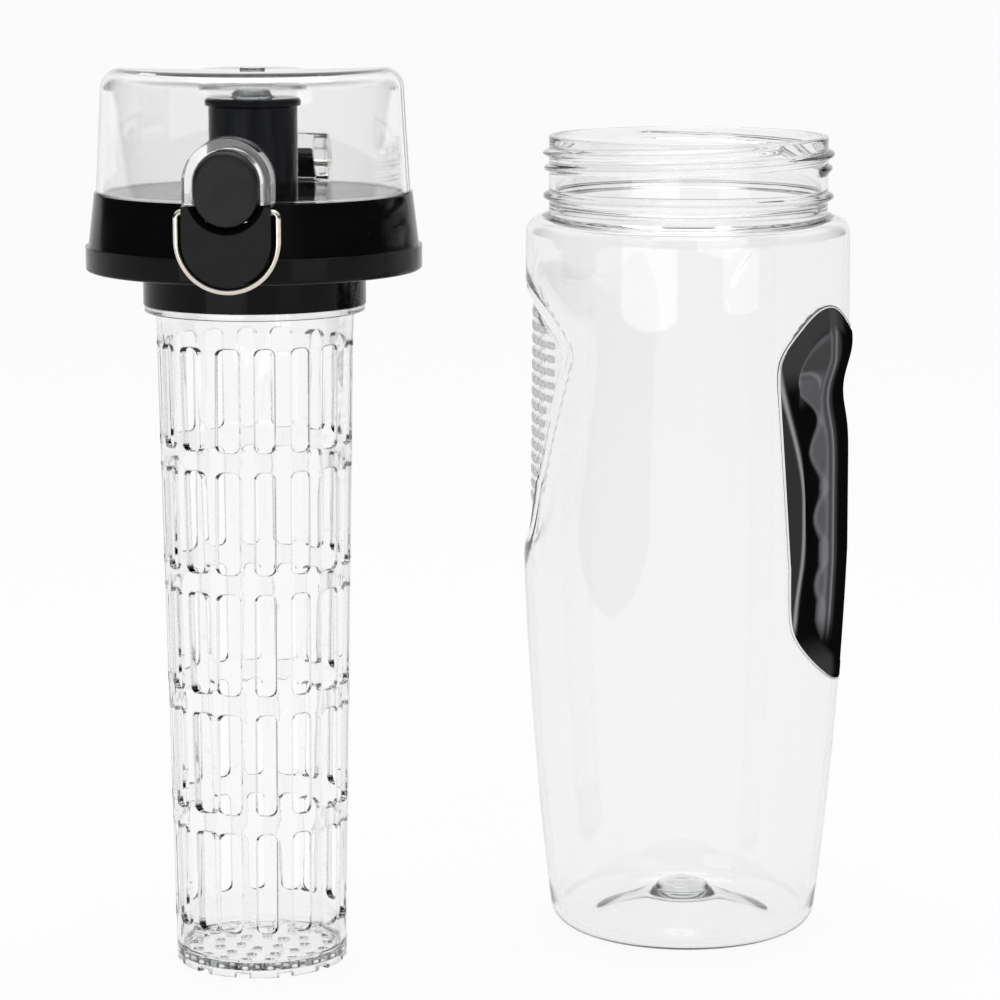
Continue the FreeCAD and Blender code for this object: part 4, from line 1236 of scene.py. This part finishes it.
@dataclass
class Softbox:
    """A soft rectangular studio lamp: where it is, what it looks at, its size and its watts."""

    name: str
    place: Place
    aim: Place
    width: float
    height: float
    power: float

    def build(self) -> None:
        """Makes the lamp, turned towards its aim."""
        data = bpy.data.lights.new(self.name, "AREA")
        data.shape = "RECTANGLE"
        data.size = self.width * MM
        data.size_y = self.height * MM
        data.energy = self.power
        lamp = bpy.data.objects.new(self.name, data)
        place = np.array(self.place) * MM
        away = np.array(self.aim) * MM - place
        lamp.location = place.tolist()
        flat = math.hypot(away[0], away[1])
        lamp.rotation_euler = (math.atan2(flat, -away[2]), 0.0,
                               math.atan2(away[1], away[0]) - math.pi / 2.0)
        lamp.visible_camera = False
        bpy.context.scene.collection.objects.link(lamp)


@dataclass
class Studio:
    """White studio: pale floor, soft lamps, bright surroundings and the camera."""

    camera: Place = (-52.2, -984.0, 288.0)
    tilt: float = 9.6
    focal_share: float = 3.546
    sensor: float = 36.0
    sight: float = 100.0
    floor_half: float = 30000.0
    floor_drop: float = 0.05
    floor_colour: str = "#f8f8f8"
    floor_glow: float = 0.93
    back_colour: str = "#ffffff"
    front_colour: str = "#b4b5b7"
    flag_colour: str = "#2e2f31"
    gap_colour: str = "#343436"
    back_zone: Point = (-0.5, 0.25)
    flag_zone: Point = (0.45, 0.65)
    flag_rise: Point = (0.5, 0.3)
    gap_zone: Point = (-0.6, -0.75)
    gap_rise: Point = (0.12, 0.07)
    ambient: float = 0.7
    lamps: tuple[Softbox, ...] = (
        Softbox("left_softbox", (-530.0, -920.0, 122.0), (-20.0, 0.0, 122.0), 760.0, 118.0, 0.45),
        Softbox("right_softbox", (590.0, -850.0, 128.0), (0.0, 0.0, 128.0), 480.0, 104.0, 0.15),
        Softbox("front_softbox", (0.0, -900.0, 1300.0), (-40.0, 0.0, 120.0), 1200.0, 500.0, 4.4),
        Softbox("top_softbox", (-60.0, 120.0, 1250.0), (-60.0, -20.0, 100.0), 900.0, 700.0, 6.0),
    )

    def seen(self, tree: Tree) -> Socket:
        """Tells rays that show the surroundings from those that only light matt surfaces.

        Args:
            tree: The node tree.

        Returns:
            One for camera, mirror and see-through rays, zero for others.
        """
        path = add_node(tree, "ShaderNodeLightPath").outputs
        share = path["Is Camera Ray"]
        for kind in ("Is Glossy Ray", "Is Transmission Ray"):
            share = add_node(tree, "ShaderNodeMath", None, {0: share, 1: path[kind]},
                             operation="MAXIMUM").outputs[0]
        return share

    def zone(self, tree: Tree, value: Socket, limits: Point) -> Socket:
        """A straight rise of a direction's part from zero at the first limit to one at the last."""
        return add_node(tree, "ShaderNodeMapRange",
                        {"From Min": limits[0], "From Max": limits[1]},
                        {"Value": value}).outputs["Result"]

    def surroundings(self) -> None:
        """Makes the world: white behind the object and grey on the camera's side, with dark flags
        to the left and right that draw the edges of clear plastic, and a thin dark gap at the
        camera's level, which keeps upright clear walls free of veils."""
        world = bpy.data.worlds.new("white_room")
        world.use_nodes = True
        bpy.context.scene.world = world
        tree = world.node_tree
        way = add_node(tree, "ShaderNodeTexCoord").outputs["Generated"]
        parts = add_node(tree, "ShaderNodeSeparateXYZ", links={0: way}).outputs
        aside, rise = [add_node(tree, "ShaderNodeMath", links={0: parts[axis]},
                                operation="ABSOLUTE").outputs[0] for axis in ("X", "Z")]
        colour = add_node(tree, "ShaderNodeMix",
                          {MIX_A: linear(self.front_colour), MIX_B: linear(self.back_colour)},
                          {0: self.zone(tree, parts["Y"], self.back_zone)}, data_type="RGBA")
        for shade, part, across, height in (
                (self.flag_colour, aside, self.flag_zone, self.flag_rise),
                (self.gap_colour, parts["Y"], self.gap_zone, self.gap_rise)):
            share = add_node(tree, "ShaderNodeMath", None,
                             {0: self.zone(tree, part, across), 1: self.zone(tree, rise, height)},
                             operation="MULTIPLY")
            colour = add_node(tree, "ShaderNodeMix", {MIX_B: linear(shade)},
                              {0: share.outputs[0], MIX_A: colour.outputs[MIX_OUT]},
                              data_type="RGBA")
        level = add_node(tree, "ShaderNodeMapRange", {"To Min": self.ambient, "To Max": 1.0},
                         {"Value": self.seen(tree)})
        light = tree.nodes["Background"]
        tree.links.new(colour.outputs[MIX_OUT], light.inputs["Color"])
        tree.links.new(level.outputs["Result"], light.inputs["Strength"])

    def floor(self) -> None:
        """Makes the pale floor, which shows nearly white and keeps the object's shadow."""
        material = bpy.data.materials.new("paper_floor_matt")
        material.use_nodes = True
        tree = material.node_tree
        tree.nodes.remove(tree.nodes["Principled BSDF"])
        paper = add_node(tree, "ShaderNodeBsdfDiffuse", {"Color": linear(self.floor_colour)})
        glow = add_node(tree, "ShaderNodeEmission", {"Color": linear(self.back_colour)})
        share = add_node(tree, "ShaderNodeMath", {1: self.floor_glow}, {0: self.seen(tree)},
                         operation="MULTIPLY")
        mixed = add_node(tree, "ShaderNodeMixShader", None,
                         {0: share.outputs[0], 1: paper.outputs[0], 2: glow.outputs[0]})
        tree.links.new(mixed.outputs[0], tree.nodes["Material Output"].inputs["Surface"])
        line = np.array([-self.floor_half, self.floor_half])
        along, across = np.meshgrid(line, line, indexing="ij")
        points = np.stack([along, across, np.full((2, 2), -self.floor_drop)], axis=-1)
        sheet = grid_piece("floor_sheet", points, material, closed=False)

    def build(self) -> None:
        """Makes surroundings, floor, lamps and camera."""
        self.surroundings()
        self.floor()
        for lamp in self.lamps:
            lamp.build()
        data = bpy.data.cameras.new("photo_camera")
        data.sensor_width = self.sensor
        data.lens = self.focal_share * self.sensor
        data.clip_end = self.sight
        eye = bpy.data.objects.new("photo_camera", data)
        eye.location = [part * MM for part in self.camera]
        eye.rotation_euler = (math.radians(90.0 - self.tilt), 0.0, 0.0)
        bpy.context.scene.collection.objects.link(eye)
        bpy.context.scene.camera = eye


def main() -> None:
    """Builds and dresses all sub-assemblies and the studio, and logs each built piece's face count.
    """
    logging.basicConfig(level=logging.INFO, format="%(name)s: %(message)s")
    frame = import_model()
    bpy.context.scene.view_settings.view_transform = "Standard"
    bottle = Bottle()
    column = Column()
    pieces = [bottle.build(), Grip(bottle).build(), GripRim(bottle).build(),
              RecessRibs(bottle).build()]
    column.dress(frame["nodes"])
    pieces += column.build()
    for piece in pieces:
        LOG.info("built %s with %d faces", piece.name, len(piece.data.polygons))
    Studio().build()


if __name__ == "__main__":
    main()
